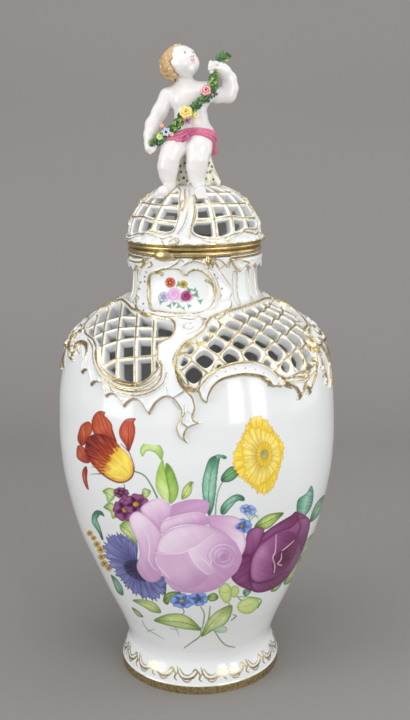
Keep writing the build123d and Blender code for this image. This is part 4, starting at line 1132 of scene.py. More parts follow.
SQUARE_OPENING = ((-90, 27), (-82, 35.5), (-75, 42), (-66, 45.5), (-59, 47), (-53.6, 48.6), (-47.6, 54.3),
                  (-44.6, 60), (-41.6, 66), (-36, 71.5), (-29, 75), (-22.4, 74.4), (-18.2, 69),
                  (-15.4, 62.5), (-16.4, 57.5), (-17.6, 46.7), (-16.4, 43.3), (-15.4, 41.4), (-13, 39),
                  (-12, 35), (-12.4, 28.3), (-14, 23), (-17, 20.4), (-20, 19.6), (-26, 18.3), (-33, 17),
                  (-45, 14), (-52, 12.6), (-62, 9.6), (-74, 8.4), (-84, 10), (-90, 16))
UPRIGHT_BARS = (-30.5, -43.5, -57, -68.5, -77, -84)
CROSS_BARS = (((-8, 292.6), (-13, 292), (-42, 290.7), (-54.3, 288.3), (-69, 282.6), (-84, 276)),
              ((-17, 282), (-24.8, 281.5), (-42.5, 279), (-57.4, 276.3), (-67.3, 271), (-80, 265)),
              ((-30, 297), (-43.6, 296.3), (-56.7, 294.4), (-68, 290.7), (-76.3, 286.5), (-84, 282)),
              ((-44, 301.5), (-54.2, 300.6), (-66.3, 296.6), (-78, 291.6), (-84, 288)))
DIAMOND_CELLS = (  # azimuth, distance down and share of the full size
    (3.7, 55.6, 1), (15.2, 55.0, 0.93), (25.3, 54.4, 1), (36.9, 56.2, 1), (47.5, 65.8, 0.95),
                 (9.6, 44.4, 0.93), (21.7, 42.8, 1), (33.7, 44.7, 1), (45.0, 51.6, 1), (55.7, 64.6, 0.9),
    (16.4, 34.4, 1), (29.0, 34.0, 1), (41.6, 39.6, 1), (54.0, 49.5, 1), (22.9, 25.0, 1), (37.4, 27.6, 1),
                 (51.4, 35.5, 1), (62.4, 46.0, 1), (31.0, 17.8, 0.9), (47.6, 23.4, 1),
    (61.6, 32.6, 1), (43.6, 13.4, 0.9), (59.4, 20.6, 1), (73.2, 30.4, 1), (9.6, 62.6, 0.34),
                 (30.8, 63.4, 0.45), (39.6, 68.2, 0.62), (5.2, 37.0, 0.45), (-1.0, 67.0, 0.92),
    (-5.4, 57.6, 0.5), (-3.0, 48.0, 0.5), (71.4, 18.4, 0.95), (83.4, 27.6, 0.9), (57, 10.6, 0.7),
                 (82.4, 15.8, 0.8), (70.8, 42.0, 0.8), (9.6, 27.0, 0.6), (70, 9.6, 0.6), (79.6, 38.2, 0.6))
DIAMOND_OPENING = ((-1.5, 75.4), (-5, 70), (-7, 60), (-4, 47), (1, 39), (5.6, 32), (7.6, 25), (12, 18),
                   (20, 14), (30, 11.5), (45, 9), (60, 7.6), (72, 7.8), (82, 12), (87, 20), (86.4, 29),
                   (80, 37), (73.4, 42.5), (67, 49), (63.6, 56), (60.6, 63), (56.6, 70), (50.6, 73),
                   (44, 73), (38, 75), (34, 72), (31, 67.4), (25, 61.4), (18, 60), (11, 62), (4.6, 68),
                   (0.5, 75))
SQUARE_FLAMES = ((-84, 46), (-76, 48), (-69.8, 61.7), (-64.4, 55.4), (-54.5, 66.7), (-54.8, 70),
                 (-53, 75.8), (-49.4, 72.2), (-45.8, 82.5), (-41.6, 78.6), (-37.1, 88.3), (-32.9, 85.2),
                 (-28.4, 93.3), (-23.6, 86.6), (-19.4, 93.6), (-18.4, 95.4), (-17.9, 97), (-17, 93.6),
                 (-15.4, 88.4), (-10.4, 83.4), (-6.2, 91.2), (-5.8, 95), (-6.7, 100), (-7.6, 104.8),
                 (-6.8, 110.4), (-5.4, 113.4), (-3.2, 116.2), (-4.6, 110.6), (-3.2, 105), (-1.6, 103.4),
                 (1.4, 101.2), (-1, 99.6), (-1.5, 96.4), (-0.6, 91), (-1, 86.7), (-1.8, 82.6), (-4.6, 77.5))
SQUARE_FRAME = np.vstack([scalloped(SQUARE_FLAMES), curve(((-6.7, 72), (-8, 62), (-7, 52), (-4, 44),
        (1, 38), (4.6, 32), (5.6, 24), (4, 15), (-4, 11.4), (-20, 10.5), (-45, 7.5), (-62, 4.5),
                                                           (-80, 4), (-90, 12), (-92, 28), (-89, 40)))])
DIAMOND_FLAMES = ((60, 77), (58, 79), (54.4, 83), (52.8, 86.4), (50, 93), (49.2, 88), (47.6, 85.8),
                  (46.6, 88), (43.3, 94.4), (43, 88.6), (41.6, 84.4), (38, 81.4), (34.6, 82))
DIAMOND_FRAME = np.vstack([curve(((-4.6, 77), (-8, 66), (-9.6, 57), (-6.4, 45), (-1, 36), (4, 26), (8, 16),
                                  (18, 10.4), (30, 8), (45, 5.4), (60, 4), (74, 4.6), (85, 9), (90, 20),
                                  (89, 31),
                                  (82.6, 40), (76, 46), (70, 52), (66.6, 59), (63.6, 67), (61, 76))),
                           scalloped(DIAMOND_FLAMES),
                           curve(((33.2, 81), (30.6, 80.4), (28.6, 77.6), (24.8, 72.2), (20, 70.2),
                                  (15, 70.2), (9.8, 72.4), (6.4, 77), (4.6, 82.6), (3.7, 87.5), (1.8, 85),
                                  (0.6, 80), (-1.6, 78.4)))])
SIDE_CREST = ((64, 56), (68, 48), (74, 45), (80, 44), (87, 40), (93, 38), (99, 42), (104, 47), (106, 54),
              (110, 58), (114, 62), (112, 68), (107, 64), (104, 58), (99, 60), (95, 66),
              (92, 72), (88, 68), (84, 64), (80, 62), (77, 60), (73, 62), (69, 62))
LEAVES = (  # hanging leaves of the side crests and corners: points, half widths, height, gilding
    (((60, 50), (59, 57), (62, 64.6), (65.8, 72.5), (66.4, 79), (63.2, 84.5)), (2.1, 2.6, 2.3, 0.4), 2.2,
     0.71),
    (((70, 58), (74.5, 66), (77.4, 74), (78, 81), (75.4, 88), (70.6, 96)), (2.3, 2.9, 2.6, 0.4), 2.9, 0.71),
    (((56.4, 60), (57.4, 67.5), (56, 75), (52.6, 82), (49.8, 87), (48.2, 91.5)), (1.7, 2.3, 1.7, 0.3), 1.6,
     0.57),
    (((49, 78), (46.6, 83), (44.4, 88), (42.2, 93.4)), (1.6, 2.1, 0.4), 1.5, 0.57),
    (((35, 74.5), (36, 78.4), (37.8, 81.6), (40.6, 84.4)), (1.6, 2.0, 0.4), 1.2, 0.63),
    (((82, 60), (84.6, 68), (88.6, 75), (93, 80), (97.6, 83)), (2.3, 3.1, 2.3, 0.4), 3.1, 0.69),
    (((94, 62), (97, 70), (101.6, 76), (107, 79)), (2.0, 2.6, 0.4), 2.6, 0.71),
    (((101, 55), (104.4, 62), (110, 67.6), (116, 69)), (2.0, 2.6, 0.4), 2.3, 0.71),
    (((110, 46.5), (106, 50), (104.6, 56), (108, 61), (114, 64.6)), (1.6, 2.5, 2.5, 0.4), 2.4, 0.71),
    (((113.6, 60.3), (115.6, 55), (121.9, 54.4), (126.2, 58.4), (127.5, 65)), (0.6, 1.7, 1.6, 0.5), 1.1,
     0.8),
    (((88, 44), (92, 48), (91, 54), (86, 54), (84, 50)), (1.7, 2.3, 1.6), 2.7, 0.52),
    (((76, 48), (80, 50), (80, 55), (75.6, 56), (73.4, 52)), (1.6, 2.2, 1.4), 2.4, 0.57),
    (((66, 46), (70, 44.6), (74, 47)), (1.7, 2.2, 1.3), 2.2, 0.57),
    (((96, 46), (100, 48), (99, 53), (95, 53)), (1.6, 2.1, 1.3), 2.3, 0.52),
    (((52.5, 57), (55.6, 61.6), (55.0, 68), (51.4, 73), (46.4, 75)), (1.0, 1.6, 0.9), 1.1, 0.69),
    (((50, 60), (52, 65), (49.4, 70), (45.4, 72.6)), (0.5, 1.2, 0.5), 1.0, 0.8),
    (((40.0, 76.1), (43, 77), (47, 78), (51.6, 75.4)), (0.6, 1.4, 0.6), 1.0, 0.69),
)
BOWL_LINES = (  # the gilt bowl at the foot of the square lattice
    (((-48, 57), (-44, 64.6), (-38.6, 70.8), (-33, 74.2), (-26, 75.6), (-21, 74), (-18, 70.4)),
     (0.5, 1.1, 1.3, 0.6), 1.1, 0.95),
    (((-34, 75.4), (-28, 77.4), (-22, 76.8), (-18, 73.4), (-16, 69.4)), (0.4, 0.8, 0.4), 1.2, 0.8),
    (((-42, 71), (-36.4, 76.8), (-30, 80.2), (-24, 81), (-18.6, 79), (-15, 74.4), (-13.3, 67.8),
      (-14.4, 60)), (0.5, 0.9, 0.9, 0.6), 1.3, 0.7),
    (((3.3, 41.2), (-2.4, 44.4), (-6.9, 53), (-8, 62.3), (-7, 71.0), (-4.8, 77.4), (-1, 79.4)),
     (0.7, 1.2, 0.8), 1.2, 0.6),
)
DETAILS = (  # lines of small relief: points, half widths, height and share of gilding
    (((-59, 50), (-51, 55), (-47, 63), (-43, 70), (-36.4, 76.5), (-28.8, 79.6), (-21.8, 79), (-17, 74.7),
      (-14.2, 68.8), (-13.4, 63), (-14.4, 58.8)), (0.7, 1.2, 1.2, 0.7), 1.0, 0.5),
    (((-40, 77.5), (-33, 82.4), (-25, 84), (-18.6, 81.7), (-13, 75), (-11.4, 67)), (0.5, 1.2, 1.4, 0.8),
     0.9, 0.45),
    (((0.8, 79.5), (1.7, 71), (5.9, 65), (11.5, 61.6), (17, 60), (23.4, 61.6), (29, 66.4), (32, 71.7),
      (33.2, 77), (31.5, 80)), (1.3, 1.6, 1.6, 1.3), 1.5, 0.42),
    (((29, 78.7), (28.3, 75), (24.8, 71.5), (20, 69.6), (15, 69.6), (9.4, 71.7), (6, 76), (4.2, 82),
      (3.7, 87)), (1.5, 1.3, 1.3, 0.6), 1.4, 0.62),
    (((31.2, 77.6), (30.2, 72.4), (26.4, 67.4), (20.4, 64.4), (14, 64.2), (8, 67), (4.4, 72.4), (2.6, 79)),
     (0.4, 0.7, 0.7, 0.4), 0.35, 0.0),
    (((-9, 84), (-5.4, 80), (-3, 76), (-4, 70), (-6.4, 64)), (0.5, 1.1, 0.7), 0.9, 0.5),
    (((-7.6, 56), (-2, 46.6), (2.6, 42), (6.8, 36), (8.6, 28)), (0.5, 1.0, 0.6), 0.8, 0.5),
    (((-3.4, 104), (-5.6, 100), (-4.4, 94), (-4.6, 88)), (0.9, 1.0, 0.4), 0.8, 0.45),
    (((60, 80), (61.4, 70), (63, 58), (66.6, 46), (71, 36), (73, 26), (70, 15)), (0.6, 1.3, 1.2, 0.7), 1.1,
     0.5),
    (((36, 78), (42, 80), (48, 80), (54, 77), (58, 72)), (0.6, 1.3, 0.6), 1.0, 0.5),
    (((64.4, 80), (66.8, 84), (67.4, 88.5), (66, 90.6)), (0.6, 1.4, 1.6), 1.8, 0.8),
    (((84, 20), (79.6, 15), (83, 10.6), (88, 12), (89, 17)), (0.8, 1.5, 1.4, 0.7), 1.6, 0.5),
    (((-60, 62.6), (-66, 60), (-69, 56)), (0.5, 0.9, 0.4), 0.7, 0.4),
    (((-14, 16), (-4, 15.6), (3, 18), (4.4, 25), (1, 32), (-4, 36)), (0.5, 1.0, 0.6), 0.8, 0.45),
    (((-2, 24), (-5.6, 25), (-6.4, 29), (-3.6, 31.4), (-1.2, 29)), (0.4, 0.8, 0.4), 0.6, 0.5),
)
FLUTES = (((-64.4, 54.6), (-66, 49)), ((-49.4, 72.5), (-51.6, 64)), ((-41.6, 78.8), (-45, 71)),
          ((-32.9, 85.8), (-35, 79)), ((-23.6, 87), (-24.6, 81.4)), ((-10.4, 84.6), (-11.6, 77)),
          ((-6.4, 91.7), (-9.4, 85)), ((48.4, 85.4), (47, 78)), ((41.6, 84), (41, 78)),
          ((57, 79.5), (57.6, 73)), ((79.4, 97), (79, 88)), ((95.6, 86), (94.4, 76)),
          ((73.6, 86), (74.6, 80)),
          ((71.6, 72), (74, 68)), ((88.6, 98), (87.6, 88)), ((-1.5, 97.1), (-3.6, 93)))
DOTS = ((8, 69.4), (11.4, 66.6), (15.4, 65.2), (19.6, 65.4), (23.6, 67), (27, 70), (-61, 58), (-20.6, 90),
        (-28.6, 88), (-37, 83), (54, 79.8), (46, 82))


def square_holes(relief):
    line = curve(SQUARE_OPENING, True, 4)
    crosses = [from_plane(bar) for bar in CROSS_BARS]
    for w, phi, s, scale in relief.places(line, 4):
        gap = relief.area(phi, s, scale, line)
        _, r, _, nz = relief.wall.at(s)
        a = np.radians(phi)
        x = r * np.sin(a)
        slope = np.sqrt(np.cos(a) ** 2 + (nz * np.sin(a)) ** 2)
        bar = np.full(phi.shape, 99.0)
        for place in UPRIGHT_BARS:
            bar = np.minimum(bar, np.abs(x - place) / np.maximum(slope, 0.3))
        for cross in crosses:
            bar = np.minimum(bar, relief.distance(phi, s, scale, cross)[0])
        hole = smooth_min(gap - 0.4, bar - 1.7, 2.0)
        crest = 0.7 * np.exp(-((bar / 1.4) ** 2))
        relief.open_up(w, gap, hole, step(0.75, 0.4, bar), 0.9, crest)
        relief.rolled_edge(w, gap, s)


def diamond_holes(relief):
    line = curve(DIAMOND_OPENING, True, 4)
    cell_wide, cell_high, corner = 6.3, 6.7, 1.62
    for w, phi, s, scale in relief.places(line, 4):
        gap = relief.area(phi, s, scale, line)
        best, second = np.full(phi.shape, -99.0), np.full(phi.shape, -99.0)
        for cell_phi, cell_s, share in DIAMOND_CELLS:
            near = share * np.interp(cell_s, (10, 45), (0.95, 1.1))
            n = ((np.abs((phi - cell_phi) * scale / (cell_wide * near)) ** corner
                  + np.abs((s - cell_s) / (cell_high * near)) ** corner) ** (1 / corner))
            value = (1 - n) * cell_wide * near * 0.8
            second = np.maximum(second, np.minimum(best, value))
            best = np.maximum(best, value)
        strut = smooth_min(best, 0.5 * (best - second) - 0.85, 1.0)
        hole = smooth_min(strut, gap - 0.7, 0.8)
        gold = step(1.2, 0.75, best - second) * step(-5.0, -4.0, best)
        crest = 0.8 * np.clip(1 - (best - second) / 2.4, 0, 1)
        relief.open_up(w, gap, hole, gold, 0.8, crest)
        relief.rolled_edge(w, gap, s)


CREAM = (242, 238, 226)
SHOULDER_LOW = 118.0
SHOULDER_HIGH = -33.7
SHOULDER_WALL = 7.0
LEAF_HEIGHT, LEAF_GILDING = 0.75, 1.25  # shares of what the table of leaves gives
RECESS_BROWN = (140, 120, 110)


def build_shoulder():
    columns, row = 720, 0.5
    phi = FRONT_FROM + np.arange(columns) * 180 / columns
    s = np.arange(SHOULDER_HIGH, SHOULDER_LOW + 0.01, row)
    s[-1] = SHOULDER_LOW
    relief = Relief(WALL, phi, s, 180.0)

    def lower(_, q):
        return step(40, 44, q)

    relief.raised(SQUARE_FRAME, 2.4, 1.7, 1.0, 0.5, lower, True)
    relief.raised(DIAMOND_FRAME, 2.6, 1.7, 1.0, 0.5, lower, True)
    relief.raised(SIDE_CREST, 2.2, 2.4, 0.9, 0.4)
    for points in FLUTES:
        relief.groove((points[0], np.mean(points, 0), points[1]), (1.1, 1.0, 0.4), 0.9)
    for points, widths, height, gold in LEAVES:
        relief.ridge(points, widths, LEAF_HEIGHT * height, LEAF_GILDING * gold)
    for points, widths, height, gold in DETAILS + BOWL_LINES:
        relief.ridge(points, widths, height, gold)
    square_holes(relief)
    diamond_holes(relief)
    for place in DOTS:
        relief.dot(*place, 0.7, 0.3, 0.0, 0.5)
    add_neck(relief)

    def colours(PHI, S, outer):
        px, py = seen_at(outer)
        front = (np.cos(np.radians(PHI)) > FRONT_COSINE) & (S > 88)
        canvas = Canvas((px - BOUQUET_LEFT) * BOUQUET_STEPS, (py - BOUQUET_TOP) * BOUQUET_STEPS, front)
        paint_daisy(canvas)
        paint_tulip(canvas)
        x, y = neck_picture(PHI, S)
        small = Canvas(x, y, S < 14, 9.0)
        paint_cartouche(small)
        upper = S.ravel() < 40
        canvas.colour[upper] = small.colour[upper]
        cream = np.tile(relief.cream, (1, 2)).ravel()[:, None]
        dark = np.tile(relief.dark, (1, 2)).ravel()[:, None]
        colour = canvas.colour * (1 - cream) + np.array(CREAM, float) * cream
        colour = colour * (1 - dark) + np.array(RECESS_BROWN, float) * dark
        return colour, np.tile(relief.gold, (1, 2)).ravel()

    return pierced_shell("shoulder", relief, SHOULDER_WALL, "vase", colours)


# Neck: its cartouche is drawn in steps of a grid laid over the picture
NECK_LEFT, NECK_TOP, NECK_STEPS = 110.0, 235.0, 8.711  # steps to a picture pixel
NECK_UNIT = 0.0846  # millimetres to a step
FRONT_FROM = -92.0  # the azimuth where the front half begins


def neck_picture(phi, s):
    """Grid steps of places on the wall, with the rear half turned to the front."""
    turned = np.mod(phi - FRONT_FROM, 180) + FRONT_FROM
    px, py = seen_at(wrap_points(turned, s, 0.0))
    x, y = (px - NECK_LEFT) * NECK_STEPS, (py - NECK_TOP) * NECK_STEPS
    far = (turned < -74) | (turned > 52) | (s > 22)
    return np.where(far, 1e6, x), np.where(far, 1e6, y)


def in_picture(relief):
    """The same relief, drawn in millimetres over the picture."""
    other = copy.copy(relief)
    x, y = neck_picture(relief.phi, relief.s)
    other.phi, other.s = x * NECK_UNIT, y * NECK_UNIT
    other.scale = np.ones(x.shape)
    other.turn = 1e7
    return other


def steps(*points):
    return np.array(points, float) * NECK_UNIT


CARTOUCHE = steps((240, 520), (262, 440), (270, 380), (290, 290), (335, 245), (372, 190), (420, 172),
                  (500, 205), (560, 215), (620, 190), (700, 196), (790, 205), (870, 170), (905, 200),
                  (925, 268),
                  (968, 330), (1000, 380), (1042, 440), (1056, 500), (1040, 545), (1054, 600), (1040, 655),
                  (1000, 702), (955, 740), (860, 745), (780, 738), (720, 760), (640, 752), (560, 738),
                  (440, 735), (350, 728), (290, 716), (250, 660), (236, 590))
PANEL = steps((362, 500), (360, 400), (376, 340), (420, 318), (470, 300), (540, 292), (610, 300),
              (655, 345), (700, 318), (760, 300), (820, 328), (868, 380), (900, 450), (908, 530),
              (892, 600),
              (860, 650), (800, 682), (720, 704), (620, 712), (520, 704), (450, 688), (396, 680),
              (366, 630))
NECK_RIDGES = (
    (((356, 640), (348, 560), (346, 450), (358, 360), (392, 318), (440, 300), (480, 278)),
     (0.6, 0.9, 1.0, 0.6), 1.1, 0.6),
    (((352, 640), (376, 686), (440, 694), (520, 706), (620, 716), (700, 706), (770, 690)), (0.6, 0.8, 0.5),
     0.8, 0.6),
    (((672, 352), (690, 318), (736, 298), (800, 310), (850, 350), (884, 396)), (0.6, 1.0, 0.5), 1.6, 0.75),
    (((626, 300), (640, 262), (690, 232), (760, 226), (826, 258), (878, 316), (920, 400), (942, 480),
      (946, 560), (930, 624), (896, 664), (850, 676)), (0.8, 1.3, 1.3, 0.8), 1.7, 0.25),
    (((640, 346), (622, 322), (630, 300)), (0.8, 1.1, 0.8), 1.4, 0.0),
    (((832, 396), (876, 414), (902, 456), (908, 520), (900, 590)), (1.0, 1.2, 0.4), 1.6, 0.85),
    (((410, 334), (440, 326), (466, 338), (450, 352)), (0.6, 1.1, 0.6), 1.2, 0.9),
    (((372, 190), (334, 246), (292, 290), (276, 340), (270, 400), (252, 470), (238, 520), (228, 590)),
     (0.5, 0.8, 0.6), 0.9, 0.6),
    (((250, 520), (270, 560), (252, 600), (240, 650), (268, 694), (316, 722), (400, 728)), (0.5, 0.9, 0.5),
     0.9, 0.6),
    (((968, 330), (1000, 380), (1042, 440), (1056, 500), (1036, 545), (1054, 600), (1038, 655), (1000, 702),
      (955, 740)), (0.6, 0.9, 0.6), 1.0, 0.62),
    (((700, 236), (740, 206), (790, 210), (830, 240)), (0.5, 0.9, 0.5), 1.2, 0.8),
    (((480, 290), (540, 270), (590, 240), (620, 196), (628, 160)), (0.6, 0.9, 0.5), 0.9, 0.5),
    (((880, 160), (868, 220), (846, 284)), (1.0, 1.1, 0.5), 2.0, 0.9),
    (((858, 206), (900, 190), (908, 226), (880, 238)), (0.6, 1.0, 0.6), 2.0, 0.9),
    (((880, 290), (900, 236), (932, 258), (948, 292), (1000, 262), (1030, 278), (1044, 222), (1120, 212),
      (1190, 236), (1210, 196), (1250, 176)), (0.6, 0.9, 0.7), 1.2, 0.65),
    (((168, 190), (204, 214), (252, 228), (300, 226), (346, 196), (384, 252), (350, 280)), (0.7, 1.0, 0.6),
     1.2, 0.65),
    (((196, 160), (236, 196), (290, 190), (330, 160)), (0.6, 1.0, 0.5), 1.0, 0.2),
)
NECK_DOTS = ((330, 320), (318, 404), (284, 410), (274, 468), (300, 610), (304, 680), (926, 372), (966, 466),
             (962, 530), (902, 340), (318, 360))
GROOVE_AZIMUTHS = (38.0, 54.5, 71.0, 87.5, 103.5, 118.0)
CLOUD = ((30, -33), (132, -33), (131, -27), (126, -23.6), (120, -25.4), (113, -20.4), (107, -24.4),
         (100, -21), (95, -25), (87, -18.6), (80, -22.4), (76, -26), (70, -21.6), (63, -25.4), (56, -22),
         (50, -25.6), (43, -21), (37, -24))


FRONT_CLOUD = ((380, 90), (376, 176), (410, 196), (440, 216), (500, 226), (560, 214), (600, 196),
               (640, 232), (668, 262), (712, 206), (770, 190), (830, 208), (868, 232), (884, 272),
               (902, 214),
               (960, 224), (1004, 260), (1036, 214), (1060, 160), (1060, 90))


def add_neck(relief):
    drawn = in_picture(relief)
    drawn.raised(CARTOUCHE, 1.5, 1.5, 0.5, 0.4)
    line = curve(PANEL, True, 5)
    for w, x, y, scale in drawn.places(line, 3):
        gap = drawn.area(x, y, scale, line)
        relief.lift[w] = np.where(gap > 0, relief.lift[w] * (1 - step(0, 1.3, gap)) + 0.3, relief.lift[w])
        relief.gold[w] = np.maximum(relief.gold[w] * (gap < 0.5), step(0.55, 0.3, np.abs(gap)))
    for points, widths, height, gold in NECK_RIDGES:
        drawn.ridge(steps(*points), widths, height, gold)
    for place in NECK_DOTS:
        drawn.dot(*steps(place)[0], 0.85, 0.25, 0.0, 0.9)
    relief.raised(CLOUD, 2.6, 3.0, 0.9, 1.0, sharp=True)
    drawn.raised(steps(*FRONT_CLOUD), 1.6, 1.6, 0.5, 0.4)
    for azimuth in GROOVE_AZIMUTHS:
        ring = [(azimuth - 2.6, -19), (azimuth, -22), (azimuth + 2.6, -19), (azimuth + 2.2, -4),
                (azimuth + 2.0, 2), (azimuth, 4.4), (azimuth - 2.0, 2), (azimuth - 2.2, -4)]
        line = curve(ring, True, 5)
        for w, phi, s, scale in relief.places(line, 3):
            gap = relief.area(phi, s, scale, line)
            relief.lift[w] -= 1.6 * step(-0.2, 1.3, gap)
            relief.gold[w] = np.maximum(relief.gold[w], 0.85 * step(0.5, 0.2, np.abs(gap + 0.1)))


def paint_cartouche(canvas):
    green, dark = (150, 190, 150), (90, 140, 110)
    for centre, reach in (((600, 430), 34), ((690, 480), 38), ((750, 520), 40), ((786, 578), 30),
                          ((600, 622), 34), ((520, 620), 32), ((446, 580), 36), ((690, 620), 30),
                          ((430, 548), 20),
                          ((560, 600), 30), ((740, 480), 26), ((640, 640), 24)):
        for turn in (20, 140, 260):
            a = math.radians(turn + centre[0])
            tip = (centre[0] + reach * math.cos(a), centre[1] + reach * math.sin(a))
            side = (centre[0] - 0.35 * reach * math.sin(a), centre[1] + 0.35 * reach * math.cos(a))
            other = (centre[0] + 0.35 * reach * math.sin(a), centre[1] - 0.35 * reach * math.cos(a))
            canvas.shape((centre, side, tip, other), (dark, green), centre, tip, dark, 5, 10, alpha=0.8)
    canvas.blossom((470, 540), 48, 6, (190, 190, 214), (140, 144, 180), ((150, 150, 180), (120, 120, 160)),
                   1.0, 0, 3)
    canvas.blossom((526, 414), 46, 5, (222, 120, 92), (172, 56, 42), ((230, 190, 90), (200, 140, 60)), 1.0,
                   10, 4)
    canvas.blossom((640, 430), 38, 5, (206, 190, 96), (170, 150, 60), ((150, 140, 50), (120, 110, 40)), 0.9,
                   0, 5)
    for centre, radius, light, deep in (((560, 520), 74, (238, 202, 232), (206, 140, 198)),
                                        ((664, 534), 60, (190, 70, 130), (112, 10, 66))):
        for n in range(9):
            a = n * GOLDEN_ANGLE
            reach = radius * (0.62 - 0.06 * n)
            spot = (centre[0] + reach * math.cos(a), centre[1] + reach * math.sin(a))
            canvas.glow(spot, radius * 0.72, deep if n % 2 else light, 0.8)
        canvas.stroke([(centre[0] + radius * (0.12 + 0.05 * k) * math.cos(k * 0.9),
                        centre[1] + radius * (0.12 + 0.05 * k) * math.sin(k * 0.9)) for k in range(14)],
                      (3, 5, 3), deep, 0.75)
        canvas.glow(centre, radius * 0.3, deep, 0.7)


# Lid
DOME_PROFILE = ((353.7, 51.3), (361, 51.0), (367.6, 49.6), (373.9, 46.9), (380, 42.9), (386.0, 37.2),
                (390.6, 31.0), (394.2, 23.0), (396.6, 14.0), (397.8, 6.0), (398.1, 2.0))
LID_WALL = 5.4
LID_REPEATS = 4  # like quarters round the lid
LID_FROM = -14  # the azimuth where a quarter begins
LIP_DROP = 1.6  # how far the dome's lip hangs below the line that s starts from
LID_WINDOW = ((1.8, 31.6), (3.4, 26.8), (2.2, 18.7), (-1.0, 13.8), (-1.0, 9.6), (3.4, 6.8), (9.7, 5.4),
              (16.2, 4.9), (23.8, 5.2), (33.2, 7.4), (41.5, 8.2), (49.3, 10.4), (58, 9.6), (66, 9),
              (72, 11), (74.6, 18), (74, 28), (71, 38), (66, 47), (52, 53), (36, 54.6), (20, 53), (8, 47),
              (3, 40))
LID_BARS = (((18.6, 2), (18, 20), (17, 32), (14, 44), (10, 58)), ((34, 2), (36, 20), (35.6, 32), (33.6, 44),
        (30, 58)), ((50, 2), (53.6, 20), (55.4, 32), (55.4, 44), (52, 58)))
LID_RINGS = (((-10, 18), (14, 18), (34, 19.6), (52, 17.4), (84, 15.6)), ((-10, 30.4), (20, 31.2),
        (40, 30.6), (84, 29)), ((-10, 43), (30, 43.6), (84, 42)))
LID_RIDGES = (
    (((-14, 8), (-9, 14), (-6.4, 22), (-5, 31), (-6, 42), (-8, 52)), (0.6, 1.4, 1.3, 0.6), 1.3, 0.3),
    (((-4, 4), (-3.4, 10), (-1.4, 16), (0.4, 24), (0.4, 34)), (0.5, 1.0, 0.6), 1.1, 0.6),
    (((-15.4, 20), (-10.6, 27), (-9.4, 35), (-12.4, 43), (-15, 50)), (0.5, 1.1, 0.6), 1.1, 0.65),
    (((-12, 26), (-14.4, 30), (-13.4, 35), (-10.6, 34)), (0.5, 0.9, 0.5), 1.1, 0.8),
    (((-1.4, 40), (2, 38), (3.2, 34), (1, 31.6)), (0.5, 1.0, 0.6), 1.2, 0.8),
    (((6, 3.2), (14, 1.8), (24, 1.6), (33, 4), (38, 5)), (0.4, 0.8, 0.4), 0.8, 0.6),
    (((40, 5.2), (46, 7.6), (52, 6.6), (58, 5.6), (64, 4), (71, 6)), (0.5, 1.0, 0.5), 1.0, 0.6),
    (((64, 3), (67, -0.4), (72, -1), (76, 2), (74, 5)), (0.5, 1.0, 0.6), 1.6, 0.7),
    (((-20, 2.4), (-16, 4.8), (-12, 3.6), (-13.6, 1.2), (-17, 0.8)), (0.4, 0.8, 0.4), 1.0, 0.6),
)


class Dome(Wall):
    """The lid's wall, with s measured up it from the rim."""

    def __init__(self):
        line = profile_line(DOME_PROFILE)
        run = np.concatenate([[0], np.cumsum(np.hypot(*np.diff(line, axis=0).T))])
        self.s, self.z, self.r = run - LIP_DROP, line[:, 0], line[:, 1]

    def at(self, s):
        z, r, nr, nz = super().at(s)
        return z, r, -nr, -nz


def revolved(name, section, columns, body, material):
    """A ring with a closed section of (radius, height)."""
    section = np.asarray(section, float)
    phi = np.arange(columns) * 2 * math.pi / columns
    r = section[:, 0][:, None] + np.zeros(columns)
    z = section[:, 1][:, None] + np.zeros(columns)
    points = np.stack([r * np.sin(phi), -r * np.cos(phi), z], -1)
    faces = grid_faces(len(section), columns, True)
    last = (len(section) - 1) * columns
    k = np.arange(columns)
    close = np.stack([last + k, last + (k + 1) % columns, (k + 1) % columns, k], -1)
    ring = mesh_object(name, points, np.concatenate([faces, close]), body, material, None, None)
    return ring


def build_lid():
    dome = Dome()
    columns = 340
    phi = LID_FROM + np.arange(columns) * 90 / columns
    s = np.arange(-LIP_DROP, 60.01, 0.5)
    relief = Relief(dome, phi, s, 90.0)
    up = relief.s + LIP_DROP
    wave = 0.5 + 0.5 * np.sin(np.radians(relief.phi * 12)) * np.cos(np.radians(relief.phi * 20 + 40))
    lip = 5.0 + 1.8 * wave
    relief.lift += 3.1 * np.sqrt(np.clip(1 - (up / lip) ** 2, 0, 1)) * step(-0.2, 1.2, up)
    edge = 1.3 + 0.9 * np.abs(np.sin(np.radians(relief.phi * 16)))
    relief.gold = np.maximum(relief.gold, step(edge + 0.2, edge - 0.2, up))
    for points, widths, height, gold in LID_RIDGES:
        relief.ridge(points, widths, height, gold)
    line = curve(LID_WINDOW, True, 4)
    bars = [curve(bar) for bar in LID_BARS + LID_RINGS]
    for w, p, q, scale in relief.places(line, 4):
        gap = relief.area(p, q, scale, line)
        bar = np.full(p.shape, 99.0)
        for path in bars:
            bar = np.minimum(bar, relief.distance(p, q, scale, path)[0])
        hole = smooth_min(gap - 0.4, bar - 2.1, 1.8)
        crest = 0.7 * np.exp(-((bar / 1.3) ** 2))
        relief.open_up(w, gap, hole, step(0.75, 0.4, bar), 0.7, crest)
        relief.lift[w] += 0.9 * np.exp(-(((gap + 1.1) / 0.8) ** 2))
        relief.gold[w] = np.maximum(relief.gold[w], step(0.6, 0.3, np.abs(gap + 1.1)))

    def colours(*_):
        cream = np.tile(relief.cream, (1, LID_REPEATS)).ravel()[:, None]
        colour = np.array(WHITE, float) * (1 - cream) + np.array(CREAM, float) * cream
        return colour, np.tile(relief.gold, (1, LID_REPEATS)).ravel()

    return pierced_shell("lid_dome_net", relief, LID_WALL, "lid", colours, LID_REPEATS)


